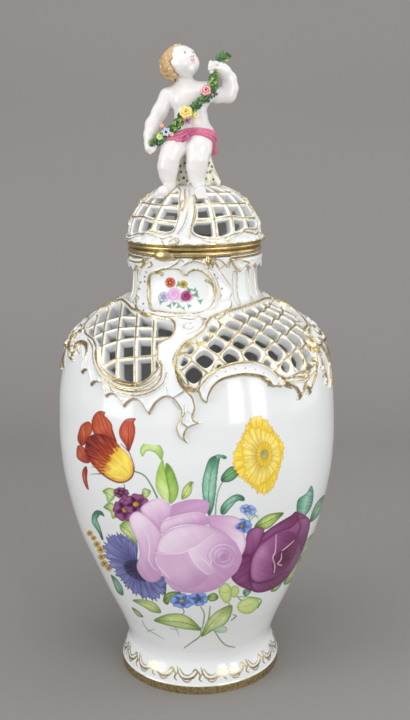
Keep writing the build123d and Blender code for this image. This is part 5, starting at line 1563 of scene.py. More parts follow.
def torus_section(radius, height, swell, half, inner, low, high):
    """A ring's section: a rounded band outside, straight inside."""
    turns = np.linspace(-math.pi / 2, math.pi / 2, 11)
    out = [(radius + swell * math.cos(t), height + half * math.sin(t)) for t in turns]
    return [(inner, low)] + [(radius, low)] + out + [(radius, high), (inner, high)]


RIM_BOSSES = (  # azimuth, height, radius of the centre, and half sizes across, up and out
    (-27.0, 346.8, 50.9, 9.2, 4.3, 2.9),
    (11.0, 342.6, 50.0, 2.1, 6.2, 2.9),
    (62.0, 341.5, 50.6, 5.0, 1.9, 2.2),
    (104.0, 342.2, 50.8, 4.2, 2.4, 2.6),
    (122.0, 341.0, 50.4, 3.4, 2.2, 2.4),
)


def build_bosses():
    """Gilt bosses under the rim, the same in front and behind."""
    rows, columns = 13, 24
    points, faces = [], []
    rise, turns = np.linspace(-math.pi / 2, math.pi / 2, rows), np.arange(columns) * 2 * math.pi / columns
    up, round_ = np.meshgrid(rise, turns, indexing="ij")
    u, v, w = np.cos(up) * np.sin(round_), np.sin(up), -np.cos(up) * np.cos(round_)
    for azimuth, height, radius, across, high, out in RIM_BOSSES:
        for turn in (0, 180):
            a = math.radians(azimuth + turn)
            reach = radius - w * out - 0.5 * (u * across) ** 2 / radius
            x = reach * math.sin(a) + u * across * math.cos(a)
            y = -reach * math.cos(a) + u * across * math.sin(a)
            faces.append(grid_faces(rows, columns, True) + rows * columns * len(faces))
            points.append(np.stack([x, y, height + v * high], -1).reshape(-1, 3))
    bosses = mesh_object("rim_bosses", np.concatenate(points), np.concatenate(faces), "vase", GILDING, None,
                         None)


RING_COLUMNS = 256


def build_rims():
    build_bosses()
    below = torus_section(radius=50.1, height=347.9, swell=2.3, half=2.0, inner=43.9, low=345.7, high=350.0)
    revolved("neck_gilt_rim", below, RING_COLUMNS, "vase", GILDING)
    turns = np.linspace(-math.pi / 2, math.pi / 2, 9)
    above = ([(44.2, 350.35), (50.4, 350.35)] + [(51.0 + 1.3 * math.cos(t), 351.9 + 1.4 * math.sin(t))
                                                 for t in turns] + [(51.2, 353.65), (44.2, 353.65)])
    revolved("lid_gilt_rim", above, RING_COLUMNS, "lid", GILDING)


# Figure on the lid, modelled as one skin over rounded limbs
FIGURE_VOXEL = 0.5
CREASE = (244, 226, 218)
LIP = (222, 146, 132)
EYE = (150, 154, 164)
BLUSH = (246, 214, 206)


def place(px, py, y):
    """The point in millimetres that the camera sees at a picture place, in the plane at y."""
    down, yaw, roll = CAMERA_ANGLES
    across, below = px - PICTURE_WIDTH / 2, py - PICTURE_HEIGHT / 2
    u = (across * math.cos(roll) - below * math.sin(roll)) / FOCAL_PIXELS
    v = (across * math.sin(roll) + below * math.cos(roll)) / FOCAL_PIXELS
    away = math.cos(down) - v * math.sin(down)
    z = -math.sin(down) - v * math.cos(down)
    x = u * math.cos(yaw) + away * math.sin(yaw)
    away = -u * math.sin(yaw) + away * math.cos(yaw)
    t = (y + CAMERA_AWAY) / away
    return np.array([x * t, y, z * t + CAMERA_HEIGHT])


class Clay:
    """A soft body of balls and limbs on a regular grid; lower field values are deeper inside."""

    def __init__(self, low, high, voxel=FIGURE_VOXEL):
        self.low, self.voxel = np.asarray(low, float), voxel
        self.shape = tuple(int(v) for v in np.ceil((np.asarray(high, float) - self.low) / voxel) + 1)
        self.field = np.full(self.shape, 6.0, np.float32)

    def near(self, low, high):
        a = np.clip(np.floor((low - self.low) / self.voxel), 0, self.shape).astype(int)
        b = np.clip(np.ceil((high - self.low) / self.voxel) + 1, 0, self.shape).astype(int)
        box = tuple(slice(i, j) for i, j in zip(a, b))
        axes = [self.low[k] + self.voxel * np.arange(a[k], b[k]) for k in range(3)]
        return box, np.stack(np.meshgrid(*axes, indexing="ij"), -1)

    def add(self, box, field, k):
        old = self.field[box]
        mix = np.clip(0.5 + 0.5 * (old - field) / k, 0, 1)
        self.field[box] = old * (1 - mix) + field * mix - k * mix * (1 - mix)

    def limb(self, a, b, ra, rb, k=3.0):
        a, b = np.asarray(a, float), np.asarray(b, float)
        reach = max(ra, rb) + k + 1.0
        box, points = self.near(np.minimum(a, b) - reach, np.maximum(a, b) + reach)
        if points.size == 0:
            return
        along = b - a
        t = np.clip(((points - a) @ along) / max(along @ along, 1e-9), 0, 1)
        gap = np.linalg.norm(points - (a + t[..., None] * along), axis=-1)
        self.add(box, gap - (ra + (rb - ra) * t), k)

    def chain(self, stations, k=3.0):
        for (a, ra), (b, rb) in zip(stations[:-1], stations[1:]):
            self.limb(a, b, ra, rb, k)

    def dent(self, centre, radius, k=1.0):
        centre = np.asarray(centre, float)
        box, points = self.near(centre - radius - k - 1, centre + radius + k + 1)
        field = radius - np.linalg.norm(points - centre, axis=-1)
        old = self.field[box]
        mix = np.clip(0.5 - 0.5 * (old - field) / k, 0, 1)
        self.field[box] = old * (1 - mix) + field * mix + k * mix * (1 - mix)

    def mesh(self):
        grid = openvdb.FloatGrid()
        grid.copyFromArray(self.field)
        points, faces = grid.convertToQuads(isovalue=0.0)
        return self.low + self.voxel * np.asarray(points, float), np.asarray(faces)[:, ::-1]


def stations(rows):
    return [(place(px, py, y), r) for px, py, y, r in rows]


def rested(rows, sink=0.6):
    """The same stations, brought forward until each lies on the dome."""
    out = []
    line = profile_line(DOME_PROFILE)[:, ::-1]
    for px, py, _, r in rows:
        for y in np.arange(-48.0, -4.0, 0.5):
            spot = place(px, py, y)
            gap = np.min(np.hypot(line[:, 0] - math.hypot(spot[0], spot[1]), line[:, 1] - spot[2]))
            if gap < r - sink:
                break
        out.append((px, py, y, r))
    return tuple(out)


# Limbs: picture place, y and radius at each bend
SPINE = ((184.5, 79, 1, 6.6), (186, 90, 1, 7.2), (189, 101, 1, 10.4), (191, 118, -2, 12.0),
         (192.5, 132, -2, 12.2))
CHEST = ((182.5, 100, -2, 9.4), (199, 97, -2, 9.6))
HIPS = ((185, 136, -5, 10.6), (201, 136, -4, 10.8))
COLLAR = ((168, 95.5, 1, 5.6), (186, 90, 1, 6.4), (205, 90, 1, 6.2))
RIGHT_ARM = ((167.5, 97, 0, 6.3), (160, 112, -2, 5.9), (152.8, 125, -4, 5.6), (150.4, 135, -8, 4.9),
             (149.6, 143, -11, 3.7), (149.8, 148, -13, 3.9))
LEFT_ARM = ((206, 92, 1, 6.4), (217, 95.6, 1, 5.6), (228, 95, 1, 5.9), (230.4, 88, 1, 5.7),
            (229.4, 79, 0, 5.1), (224.6, 71.4, -3, 4.4), (220, 68.4, -4, 4.5), (214.8, 67.6, -6, 5.0))
RIGHT_LEG = ((178.5, 139, -9, 9.4), (173, 149, -14, 8.9), (169, 159, -18, 7.4), (168, 167, -17, 7.6),
             (168, 175, -16, 6.3), (169.5, 183.5, -15, 4.4), (169.5, 188.5, -15, 4.6))
LEFT_LEG = ((200, 139, -9, 10.2), (198.6, 149, -14, 9.6), (197.4, 160, -18, 7.8), (196.6, 168, -17, 7.6),
            (196.6, 176, -16, 6.0), (198.4, 184, -16, 4.3), (199, 189, -16, 4.5))
RIGHT_FOOT = ((169, 189.5, -15, 4.2), (163, 191.5, -20, 3.9), (158, 194.5, -24, 3.0))
LEFT_FOOT = ((199, 190, -16, 4.2), (200.4, 193, -21, 3.9), (201.4, 196, -25.5, 3.0))
RIGHT_TOES = ((153.6, 196.6, -26, 1.7), (156, 197.6, -26.6, 1.4), (158.4, 198, -26.6, 1.3),
              (160.6, 198, -26, 1.2), (162.6, 197.4, -25, 1.1))
LEFT_TOES = ((197.4, 197.4, -27.6, 1.1), (199.4, 198.6, -28.2, 1.2), (201.4, 199, -28.4, 1.3),
             (203.4, 198.6, -28.2, 1.4), (205.8, 197.4, -27.4, 1.7))
RIGHT_FINGERS = ((154.6, 149.2, -16, 1.4), (152.8, 151.2, -15.6, 1.4), (150.4, 152.8, -14.6, 1.4),
                 (147.8, 151.6, -13, 1.3), (155.4, 146.4, -16.4, 1.5))
LEFT_FINGERS = ((210.8, 62.8, -9, 1.8), (210.2, 65.8, -10.4, 1.8), (210.2, 68.8, -10.4, 1.8),
                (211.4, 71.8, -9.6, 1.7), (216.6, 63.4, -10.4, 1.7))
RIGHT_FOOT = RIGHT_FOOT[:1] + rested(RIGHT_FOOT[1:])
LEFT_FOOT = LEFT_FOOT[:1] + rested(LEFT_FOOT[1:])
RIGHT_TOES = rested(RIGHT_TOES, 0.3)
LEFT_TOES = rested(LEFT_TOES, 0.3)
HEAD = np.array([-8.2, -1.0, 487.2])
HEAD_SIZE = 12.0
FACE = np.array([0.58, -0.68, 0.45])
CROWN = np.array([-0.34, 0.31, 0.89])
HAIR_DROOP = np.array([-0.88, 0.16, -0.45])


def head_frame():
    ahead = FACE / np.linalg.norm(FACE)
    up = CROWN - (CROWN @ ahead) * ahead
    up /= np.linalg.norm(up)
    return np.cross(ahead, up) * -1.0, up, ahead


def on_head(side, up, ahead):
    a, b, c = head_frame()
    return HEAD + side * a + up * b + ahead * c


def tint(paint, points, centre, reach, colour, strength=1.0, soft=0.45):
    gap = np.linalg.norm(points - centre, axis=1)
    share = strength * np.clip((reach - gap) / (soft * reach), 0, 1)[:, None]
    paint[:] = paint * (1 - share) + np.array(colour, float) * share


def build_skin():
    clay = Clay((-46, -36, 388), (42, 24, 506))
    for rows, k in ((SPINE, 4.0), (CHEST, 4.0), (HIPS, 4.0), (COLLAR, 3.5), (RIGHT_ARM, 2.6),
                    (LEFT_ARM, 2.6), (RIGHT_LEG, 2.6), (LEFT_LEG, 2.6), (RIGHT_FOOT, 2.0),
                    (LEFT_FOOT, 2.0)):
        clay.chain(stations(rows), k)
    for tips, root in ((RIGHT_TOES, RIGHT_FOOT[-1]), (LEFT_TOES, LEFT_FOOT[-1]),
                       (RIGHT_FINGERS, RIGHT_ARM[-1]), (LEFT_FINGERS, LEFT_ARM[-1])):
        base = place(*root[:3])
        for px, py, y, r in tips:
            tip = place(px, py, y)
            clay.limb(base + 0.5 * (tip - base), tip, r * 0.95, r * 0.95, 0.35)
    clay.limb(on_head(0, 0.6, -1.6), on_head(0, 0.0, 0.6), HEAD_SIZE, HEAD_SIZE, 2.0)
    clay.limb(on_head(-4.4, -4.6, 5.4), on_head(-4.2, -5.4, 4.4), 6.0, 6.0, 2.4)
    clay.limb(on_head(4.4, -4.6, 5.4), on_head(4.2, -5.4, 4.4), 6.0, 6.0, 2.4)
    clay.limb(on_head(0, -9.4, 6.8), on_head(0, -8.4, 4.0), 3.8, 6.0, 2.4)
    for side in (-4.3, 4.3):
        clay.dent(on_head(side, 1.5, 13.6), 2.5, 1.6)
        clay.limb(on_head(side, 1.2, 9.9), on_head(side, 1.2, 9.9), 1.9, 1.9, 0.5)
        clay.limb(on_head(side * 0.6, 3.6, 11.0), on_head(side * 1.35, 3.4, 9.9), 0.9, 0.8, 1.4)
        clay.limb(on_head(side * 2.8, -1.0, -0.6), on_head(side * 2.8, 1.6, -1.4), 1.9, 2.0, 0.8)
    clay.limb(on_head(0, 1.2, 11.6), on_head(0, -1.6, 13.2), 1.0, 1.5, 1.4)
    for side in (-1.2, 1.2):
        clay.limb(on_head(side, -1.9, 12.2), on_head(side, -2.0, 12.2), 1.1, 1.1, 0.8)
    clay.limb(on_head(-1.9, -4.7, 11.4), on_head(0, -4.4, 12.2), 0.7, 0.9, 0.6)
    clay.limb(on_head(1.9, -4.7, 11.4), on_head(0, -4.4, 12.2), 0.7, 0.9, 0.6)
    clay.limb(on_head(-1.3, -6.2, 11.2), on_head(1.3, -6.2, 11.2), 1.0, 1.0, 0.7)
    clay.dent(place(191.5, 126, -15.5), 1.2, 1.4)
    points, faces = clay.mesh()
    paint = np.tile(np.array((232, 228, 225), float), (len(points), 1))
    for centre, reach in ((on_head(-6.0, -3.6, 9.6), 4.6), (on_head(6.0, -3.6, 9.6), 4.6),
                          (place(*RIGHT_LEG[2][:3]), 9.6), (place(*LEFT_LEG[2][:3]), 10.0),
                          (place(*RIGHT_ARM[2][:3]), 7.6), (place(*LEFT_ARM[2][:3]), 8.0),
                          (place(187, 97, -14), 6.0), (place(191, 121, -16), 7.0)):
        tint(paint, points, centre, reach, BLUSH, 0.55, 0.9)
    for side in (-4.3, 4.3):
        tint(paint, points, on_head(side, 1.2, 11.8), 1.1, EYE, 0.7)
        tint(paint, points, on_head(side, 1.3, 11.9), 0.5, (84, 84, 96), 0.7)
        for k in range(5):
            tint(paint, points, on_head(side * (0.62 + 0.2 * k), 4.2 - 0.12 * (k - 2) ** 2, 11.4 - 0.3 * k),
                 0.8, (186, 160, 130), 0.55)
            tint(paint, points, on_head(side * (0.72 + 0.14 * k), 2.3 - 0.16 * (k - 2) ** 2, 11.8), 0.62,
                 (150, 124, 110), 0.5)
    for side, up in ((-1.6, -4.9), (-0.6, -4.7), (0.6, -4.7), (1.6, -4.9), (0, -6.1), (-1.0, -6.0),
                     (1.0, -6.0)):
        tint(paint, points, on_head(side, up, 12.4), 1.0, LIP, 0.6)
    for side in (-1.1, 1.1):
        tint(paint, points, on_head(side, -3.0, 13.2), 0.6, (170, 110, 100), 0.6)
    for rows in (RIGHT_TOES, LEFT_TOES, RIGHT_FINGERS, LEFT_FINGERS):
        for a, b in zip(rows[:-1], rows[1:]):
            tint(paint, points, (place(*a[:3]) + place(*b[:3])) / 2 + (0, -0.6, 0.6), 1.1, CREASE, 0.8)
    skin = mesh_object("putto_skin", points, faces, "lid", GLAZE, paint, np.zeros(len(points)))
    return skin, clay


# Brown of the curls in painted shade and in painted light
HAIR_SHADED, HAIR_LIT = (128, 88, 46), (212, 180, 130)


def build_hair():
    clay = Clay((-36, -20, 462), (16, 26, 506))
    _, up, ahead = head_frame()
    tones = []
    count = 150  # curls over the whole head, of which those on the hair's side are made
    for n in range(count):
        z = 1 - 2 * (n + 0.5) / count
        turn = n * GOLDEN_ANGLE
        d = np.array([math.sqrt(1 - z * z) * math.cos(turn), math.sqrt(1 - z * z) * math.sin(turn), z])
        line = 0.12 + 0.22 * (d @ up) + 0.05 * math.sin(5 * turn)
        if d @ ahead > line or d @ up < -0.80:  # the face and the nape
            continue
        droop = max(0.0, d @ (HAIR_DROOP / np.linalg.norm(HAIR_DROOP)))
        centre = HEAD + d * (HEAD_SIZE - 0.5 + 3.6 * droop**2)
        across = np.cross(d, up + 0.3 * ahead)
        across /= np.linalg.norm(across)
        down = np.cross(across, d)
        last = None
        for k in range(8):
            a = k * 0.85 + n
            reach = 2.3 - 0.22 * k
            spot = centre + reach * (math.cos(a) * across + math.sin(a) * down) + d * (0.16 * k)
            if last is not None:
                clay.limb(last, spot, 1.15, 1.1, 0.5)
            last = spot
        clay.limb(HEAD + d * (HEAD_SIZE - 2), centre - d * 1.2, 3.0, 2.6, 1.0)
        tones.append((centre, 0.5 + 0.5 * math.sin(n * 2.1)))
    points, faces = clay.mesh()
    away = np.linalg.norm(points - HEAD, axis=1)
    near = np.full(len(points), 99.0)
    tone = np.zeros(len(points))
    depth = np.zeros(len(points))
    for centre, value in tones:
        gap = np.linalg.norm(points - centre, axis=1)
        closer = gap < near
        near = np.where(closer, gap, near)
        tone = np.where(closer, value, tone)
        depth = np.where(closer, away - np.linalg.norm(centre - HEAD), depth)
    # Painted shade and light: darker the deeper a place lies among the curls, lighter on their outer turns,
    # with a random tone for each curl
    light = np.clip(0.36 + 0.6 * depth, 0, 1)[:, None] * (0.75 + 0.25 * tone[:, None])
    paint = np.array(HAIR_SHADED, float) * (1 - light) + np.array(HAIR_LIT, float) * light
    hair = mesh_object("putto_curls", points, faces, "lid", GLAZE, paint, np.zeros(len(points)))
    return hair


# Sash: strands of folded cloth about the hips, as picture place and y
SASH = (
    ((177, 135.5, -15.5), (183, 131.4, -17.6), (194, 129.6, -17.0), (205, 130.6, -13.6), (211, 134, -6),
     (212.4, 137, 2), (206, 136, 11), (192, 134, 14), (178, 133, 9), (173.4, 134, -2), (174.6, 136, -11),
     (177, 135.5, -15.5)),
    ((178, 138.4, -17), (184, 134.4, -18.8), (195, 131.8, -18.2), (205, 133, -15), (210.6, 137, -8),
     (213, 140.6, 0), (207, 139, 10), (192, 137, 13.6), (179, 136.4, 9.4), (173.6, 137.4, 0),
     (175, 139, -10), (178, 138.4, -17)),
    ((179, 140.4, -18), (185, 138, -19.8), (190, 134.6, -19.4), (198, 133.4, -18.6), (206, 136.4, -16),
     (210, 141, -11), (212, 146, -7)),
    ((181, 141, -18.4), (184.6, 139.6, -19.8), (188, 136.4, -19.8)),
    ((211.6, 137, -4), (213.2, 143, -5), (213.8, 149, -4), (214.2, 155.4, -3)),
    ((212.4, 138, -1), (214.6, 144, -2), (215, 150, -1.6), (215, 153.4, -1)),
    ((210.2, 139, -9), (211.4, 145, -8), (212.6, 150, -6)),
)


def pushed_out(clay, point, lift):
    """The point moved level and outwards from the hips until it is clear of the skin."""
    axis = np.array([-1.5, -2.0, point[2]])
    out = (point - axis) / np.linalg.norm(point - axis)
    for reach in np.arange(8.0, 26.0, 0.25):
        spot = axis + out * reach
        index = np.clip(np.round((spot - clay.low) / clay.voxel), 0, np.array(clay.shape) - 1).astype(int)
        if clay.field[tuple(index)] > lift:
            return spot if reach > np.linalg.norm(point - axis) - 4 else point
    return point


# The middle colour is painted shade, laid in the creases where the strands of the sash meet
SASH_PINK, SASH_CREASE_SHADE, SASH_LOW = (216, 120, 150), (158, 40, 80), (196, 78, 116)


def strand_radius(n):
    return 1.35 - 0.09 * n


def build_sash(skin_clay):
    clay = Clay((-24, -30, 408), (28, 22, 446))
    lines = []
    for n, rows in enumerate(SASH):
        line = curve([place(*row) for row in rows], False, 6)
        line = np.array([pushed_out(skin_clay, p, 0.3) for p in line]) if n < 3 else line
        line[1:-1] = (line[:-2] + 2 * line[1:-1] + line[2:]) / 4
        lines.append(line)
        radius = strand_radius(n)
        for a, b in zip(line[:-1], line[1:]):
            clay.limb(a, b, radius, radius, 0.9)
    points, faces = clay.mesh()
    gap = np.full(len(points), 99.0)
    for n, line in enumerate(lines):
        for a, b in zip(line[:-1], line[1:]):
            along = b - a
            t = np.clip(((points - a) @ along) / max(along @ along, 1e-9), 0, 1)
            gap = np.minimum(gap, np.linalg.norm(points - (a + t[:, None] * along), axis=1)
                             - strand_radius(n))
    # Painted shade: darker in the creases where the strands meet, and a deeper pink towards the bottom
    dark = np.clip(0.05 + (gap - 0.22) / 0.45, 0, 1)[:, None]
    below = np.clip((436 - points[:, 2]) / 16, 0, 1)[:, None] * 0.35
    paint = np.array(SASH_PINK, float) * (1 - dark) + np.array(SASH_CREASE_SHADE, float) * dark
    paint = paint * (1 - below) + np.array(SASH_LOW, float) * below
    cloth = mesh_object("sash_folds", points, faces, "lid", GLAZE, paint, np.zeros(len(points)))
    return cloth


# Stump behind the legs
STUMP_SPOTS = ((208.6, 163, 1.6), (206.8, 172.4, 1.3), (206.4, 178.8, 1.0), (213.4, 179.4, 1.2),
               (210.6, 171, 0.9), (180, 166, 1.4), (181, 172, 1.4), (183.6, 178, 1.5), (186.6, 172, 1.3),
               (187.4, 181, 1.2),
               (179, 180, 1.0), (185, 163, 1.2), (190, 184, 1.0))


def build_stump():
    clay = Clay((-30, -24, 386), (34, 32, 446))
    clay.chain([(np.array([1.0, 4.0, 398.0]), 15.5), (np.array([1.5, 4.0, 410.0]), 12.6),
                (np.array([2.0, 4.5, 424.0]), 10.0), (np.array([2.5, 5.0, 433.0]), 9.0)], 4.0)
    for n in range(9):
        a = n * 2 * math.pi / 9 + 0.3
        out = np.array([math.cos(a), math.sin(a), 0])
        foot = np.array([1.0, 3.0, 397.4]) + out * 18.5
        clay.limb(np.array([1.5, 4, 414]) + out * 10.5, foot, 2.2, 2.6, 3.0)
        clay.limb(np.array([2, 4.5, 428]) + out * 8.6, np.array([1.5, 4, 414]) + out * 11.4, 1.4, 1.8, 2.0)
    points, faces = clay.mesh()
    paint = np.tile(np.array((236, 232, 216), float), (len(points), 1))
    turn = np.arctan2(points[:, 1] - 4, points[:, 0] - 1.5)
    streak = (np.clip(np.sin(turn * 13 + 0.12 * points[:, 2]) * np.sin(points[:, 2] * 0.31 + 3 * turn)
                      - 0.35, 0, 1)[:, None] * 0.9)
    paint = paint * (1 - streak) + np.array((168, 156, 118), float) * streak
    for n in range(34):
        a = n * GOLDEN_ANGLE
        z = 399 + (n * 7.3) % 30
        spot = np.array([1.5 + 12 * math.cos(a), 4 + 12 * math.sin(a), z])
        near = np.argmin(np.linalg.norm(points - spot, axis=1))
        tint(paint, points, points[near], 1.5, (86, 92, 52), 0.9, 0.5)
        tint(paint, points, points[near] + (1.1, 0, 1.3), 1.2, (118, 132, 74), 0.9, 0.5)
    for px, py, reach in STUMP_SPOTS:
        seen = place(px, py, -8)
        eye = np.array([0.0, -CAMERA_AWAY, CAMERA_HEIGHT])
        along = (seen - eye) / np.linalg.norm(seen - eye)
        gap = np.linalg.norm(np.cross(points - eye, along), axis=1)
        share = (np.clip((reach * 0.9 - gap) / 0.5, 0, 1) * (points[:, 1] < 8))[:, None]
        paint = paint * (1 - share) + np.array((92, 96, 60), float) * share
    stump = mesh_object("stump_bark", points, faces, "lid", GLAZE, paint, np.zeros(len(points)))
    return stump


class Sprig:
    """Leaves and blossoms gathered into one mesh."""

    def __init__(self):
        self.points, self.faces, self.paint, self.total = [], [], [], 0

    def take(self, points, faces, paint):
        self.points.append(points)
        self.faces.append(faces + self.total)
        self.paint.append(paint)
        self.total += len(points)

    def leaf(self, root, tip, normal, width, colours, thick=0.5, lift=0.9):
        root, tip, normal = (np.asarray(v, float) for v in (root, tip, normal))
        along = tip - root
        side = np.cross(along, normal)
        side /= np.linalg.norm(side)
        normal = np.cross(side, along)
        normal /= np.linalg.norm(normal)
        t = np.linspace(0, 1, 9)[:, None]
        w = np.linspace(-1, 1, 7)[None, :]
        half = 0.5 * width * np.sin(np.pi * t**0.8) ** 0.9 * (1 + 0.12 * np.cos(t * 24))
        rise = lift * np.sin(np.pi * t) + 0.22 * width * np.abs(w) ** 1.4 * np.sin(np.pi * t)
        base = root + t[..., None] * along + (w * half)[..., None] * side
        top = (base + (rise + 0.5 * thick * (1 - 0.8 * np.abs(w)) * np.sin(np.pi * t) ** 0.5)[..., None]
               * normal)
        low = (base + (rise - 0.5 * thick * (1 - 0.8 * np.abs(w)) * np.sin(np.pi * t) ** 0.5)[..., None]
               * normal)
        faces = grid_faces(9, 7, False)
        rib = np.exp(-((w / 0.16) ** 2)) * 0.8 + 0.5 * (np.abs(w) > 0.9) + 0 * t
        veins = 0.35 * (np.sin(t * 30 + 5 * np.abs(w)) > 0.6)
        mix = np.clip(rib + veins, 0, 1)[..., None]
        paint = np.array(colours[0], float) * (1 - mix) + np.array(colours[1], float) * mix
        # The underside gets the same colours darkened, as painted shade
        self.take(np.concatenate([top.reshape(-1, 3), low.reshape(-1, 3)]),
                  np.concatenate([faces, faces[:, ::-1] + 63]),
                  np.concatenate([paint.reshape(-1, 3), paint.reshape(-1, 3) * 0.8]))

    def rose(self, centre, axis, radius, colours, petals=5, swirl=2.4):
        centre, axis = np.asarray(centre, float), np.asarray(axis, float)
        axis = axis / np.linalg.norm(axis)
        side = np.cross(axis, (0, 0, 1.0))
        side /= np.linalg.norm(side)
        up = np.cross(side, axis)
        rho = np.linspace(0, 1, 34)[:, None]
        turn = (np.arange(72) * 2 * math.pi / 72)[None, :]
        outline = 1 + 0.07 * np.cos(petals * turn) + 0.03 * np.sin(9 * turn)
        spiral = swirl * 2 * math.pi * rho - turn
        ridge = np.abs(np.cos(spiral / 2 + 0.35 * np.sin(3 * turn))) ** 0.7
        height = (0.62 * np.sqrt(np.clip(1 - rho**2.6, 0, 1)) + 0.16 * (ridge - 0.5) * np.clip(rho * 5, 0,
                1) * np.clip((1.06 - rho) * 6, 0, 1) - 0.22 * np.exp(-((rho / 0.16) ** 2)))
        r = radius * rho * outline
        top = (centre + (r * np.cos(turn))[..., None] * side + (r * np.sin(turn))[..., None] * up
               + (radius * height)[..., None] * axis)
        under = (centre + (r * np.cos(turn))[..., None] * side + (r * np.sin(turn))[..., None] * up
                 - (0.4 * radius * np.sqrt(np.clip(1 - rho**2, 0, 1)) + 0 * turn)[..., None] * axis)
        faces = grid_faces(34, 72, True)
        # Painted light and shade: the petals' raised ridges take the light colour and the grooves between
        # them the dark one, darker still towards the middle; the heart colour fills the centre
        mix = np.clip(1.25 * ridge - 0.35 * (1 - rho), 0, 1)[..., None]
        paint = np.array(colours[0], float) * (1 - mix) + np.array(colours[1], float) * mix
        core = np.exp(-((rho / 0.2) ** 2))[..., None] + 0 * mix
        paint = paint * (1 - core) + np.array(colours[2], float) * core
        self.take(np.concatenate([top.reshape(-1, 3), under.reshape(-1, 3)]),
                  np.concatenate([faces, faces[:, ::-1] + 34 * 72]),
                  np.concatenate([paint.reshape(-1, 3), paint.reshape(-1, 3)]))

    def star(self, centre, axis, radius, colours, petals=6):
        centre, axis = np.asarray(centre, float), np.asarray(axis, float)
        axis = axis / np.linalg.norm(axis)
        side = np.cross(axis, (0.2, 0, 1.0))
        side /= np.linalg.norm(side)
        up = np.cross(side, axis)
        for n in range(petals):
            a = 2 * math.pi * n / petals
            out = math.cos(a) * side + math.sin(a) * up
            self.leaf(centre - out * 0.1 * radius, centre + out * radius + axis * 0.35 * radius, axis,
                      radius * 0.95, (colours[0], colours[1]), 0.6, 0.3)
        self.rose(centre + axis * 0.2 * radius, axis, radius * 0.33, (colours[2], colours[2], colours[2]),
                  3, 1.0)

    def finish(self, name, slot):
        points, faces, paint = (np.concatenate(part) for part in (self.points, self.faces, self.paint))
        made = mesh_object(name, points, faces, "lid", GLAZE, paint, np.zeros(len(points)))
        return made


# Garland: picture place and y along it
GARLAND = ((226.6, 54.5, -2), (222, 58.5, -3), (217.4, 66, -6), (214.6, 75, -9), (213.6, 83, -12),
           (211, 92, -15), (204.6, 98.6, -17.6), (197.6, 104.6, -19.4), (190, 110, -20.4),
           (182, 117.6, -20),
           (176.6, 124.6, -19), (170, 131, -18.6), (163, 136, -18), (156.6, 140.4, -17),
           (151.6, 144.6, -16))
LEAF_GREENS = (((104, 150, 72), (50, 88, 46)), ((74, 122, 66), (38, 70, 42)),
               ((150, 182, 96), (84, 124, 60)), ((92, 140, 96), (44, 82, 62)),
               ((176, 196, 104), (100, 132, 60)))


def build_garland():
    path = curve([place(*row) for row in GARLAND], False, 10)
    sprig = Sprig()
    run = np.concatenate([[0], np.cumsum(np.linalg.norm(np.diff(path, axis=0), axis=1))])
    count = 104  # leaves along the garland
    for n in range(count):
        d = run[-1] * (n + 0.5) / count
        spot = np.array([np.interp(d, run, path[:, k]) for k in range(3)])
        ahead = np.array([np.interp(min(d + 1, run[-1]), run, path[:, k]) for k in range(3)]) - spot
        ahead /= max(np.linalg.norm(ahead), 1e-6)
        toward = np.array([0, -1.0, 0.15])
        across = np.cross(ahead, toward)
        across /= np.linalg.norm(across)
        a = n * GOLDEN_ANGLE
        out = math.cos(a) * across + 0.75 * math.sin(a) * toward
        length = 5.2 + 1.3 * math.sin(n * 1.7)
        root = spot + out * 0.5
        tip = spot + out * length * 0.8 + ahead * length * 0.55 * (-1 if n % 3 else 1)
        sprig.leaf(root, tip, toward + 0.6 * out + 0.2 * ahead, 3.7 + 0.6 * math.sin(n * 2.3),
                   LEAF_GREENS[n % 5], 0.5, 0.8)
    green = sprig.finish("garland_leaves", "leaf_green")
    clay = Clay(path.min(0) - 4, path.max(0) + 4, 0.6)
    for a, b in zip(path[:-1], path[1:]):
        clay.limb(a, b, 1.7, 1.7, 0.8)
    points, faces = clay.mesh()
    stem = mesh_object("garland_stem", points, faces, "lid", GLAZE, plain((62, 96, 52), len(points)),
                       np.zeros(len(points)))
    toward = np.array([0.05, -1.0, 0.25])
    red = Sprig()
    red.rose(place(205.8, 90.6, -18.6), toward + (0.1, 0, 0), 4.0, ((196, 70, 84), (240, 190, 190),
                                                                    (150, 30, 44)), 5, 2.2)
    red.rose(place(162, 126, -20), toward, 1.7, ((220, 130, 96), (240, 190, 160), (200, 90, 60)), 5, 1.4)
    red = red.finish("rose_red", "red_enamel")
    yellow = Sprig()
    yellow.rose(place(186, 112.4, -23.4), toward, 4.9, ((214, 176, 70), (248, 232, 150), (206, 150, 40)), 5,
                2.3)
    yellow.rose(place(195.6, 116, -21), toward + (0.2, 0, 0), 2.6, ((222, 196, 110), (246, 236, 184),
                                                                    (200, 160, 60)), 5, 1.7)
    yellow.rose(place(171.6, 134.4, -21), toward, 1.6, ((222, 186, 120), (246, 226, 184), (200, 150, 60)),
                5, 1.4)
    yellow.rose(place(159.6, 137, -21), toward, 2.4, ((176, 200, 90), (226, 236, 160), (140, 160, 60)), 5,
                1.6)
    yellow = yellow.finish("rose_yellow", "yellow_enamel")
    purple = Sprig()
    purple.star(place(187, 121, -22), toward, 3.6, ((206, 160, 186), (150, 84, 130), (120, 60, 100)), 5)
    purple.star(place(212.4, 95, -16), toward, 3.0, ((110, 100, 140), (60, 50, 90), (220, 190, 90)), 5)
    purple = purple.finish("flower_purple", "purple_enamel")
    blue = Sprig()
    blue.star(place(166, 132.4, -22), toward, 3.7, ((236, 240, 248), (120, 132, 178), (60, 70, 120)), 6)
    blue = blue.finish("flower_blue", "blue_enamel")
    return green, stem, red, yellow, purple, blue


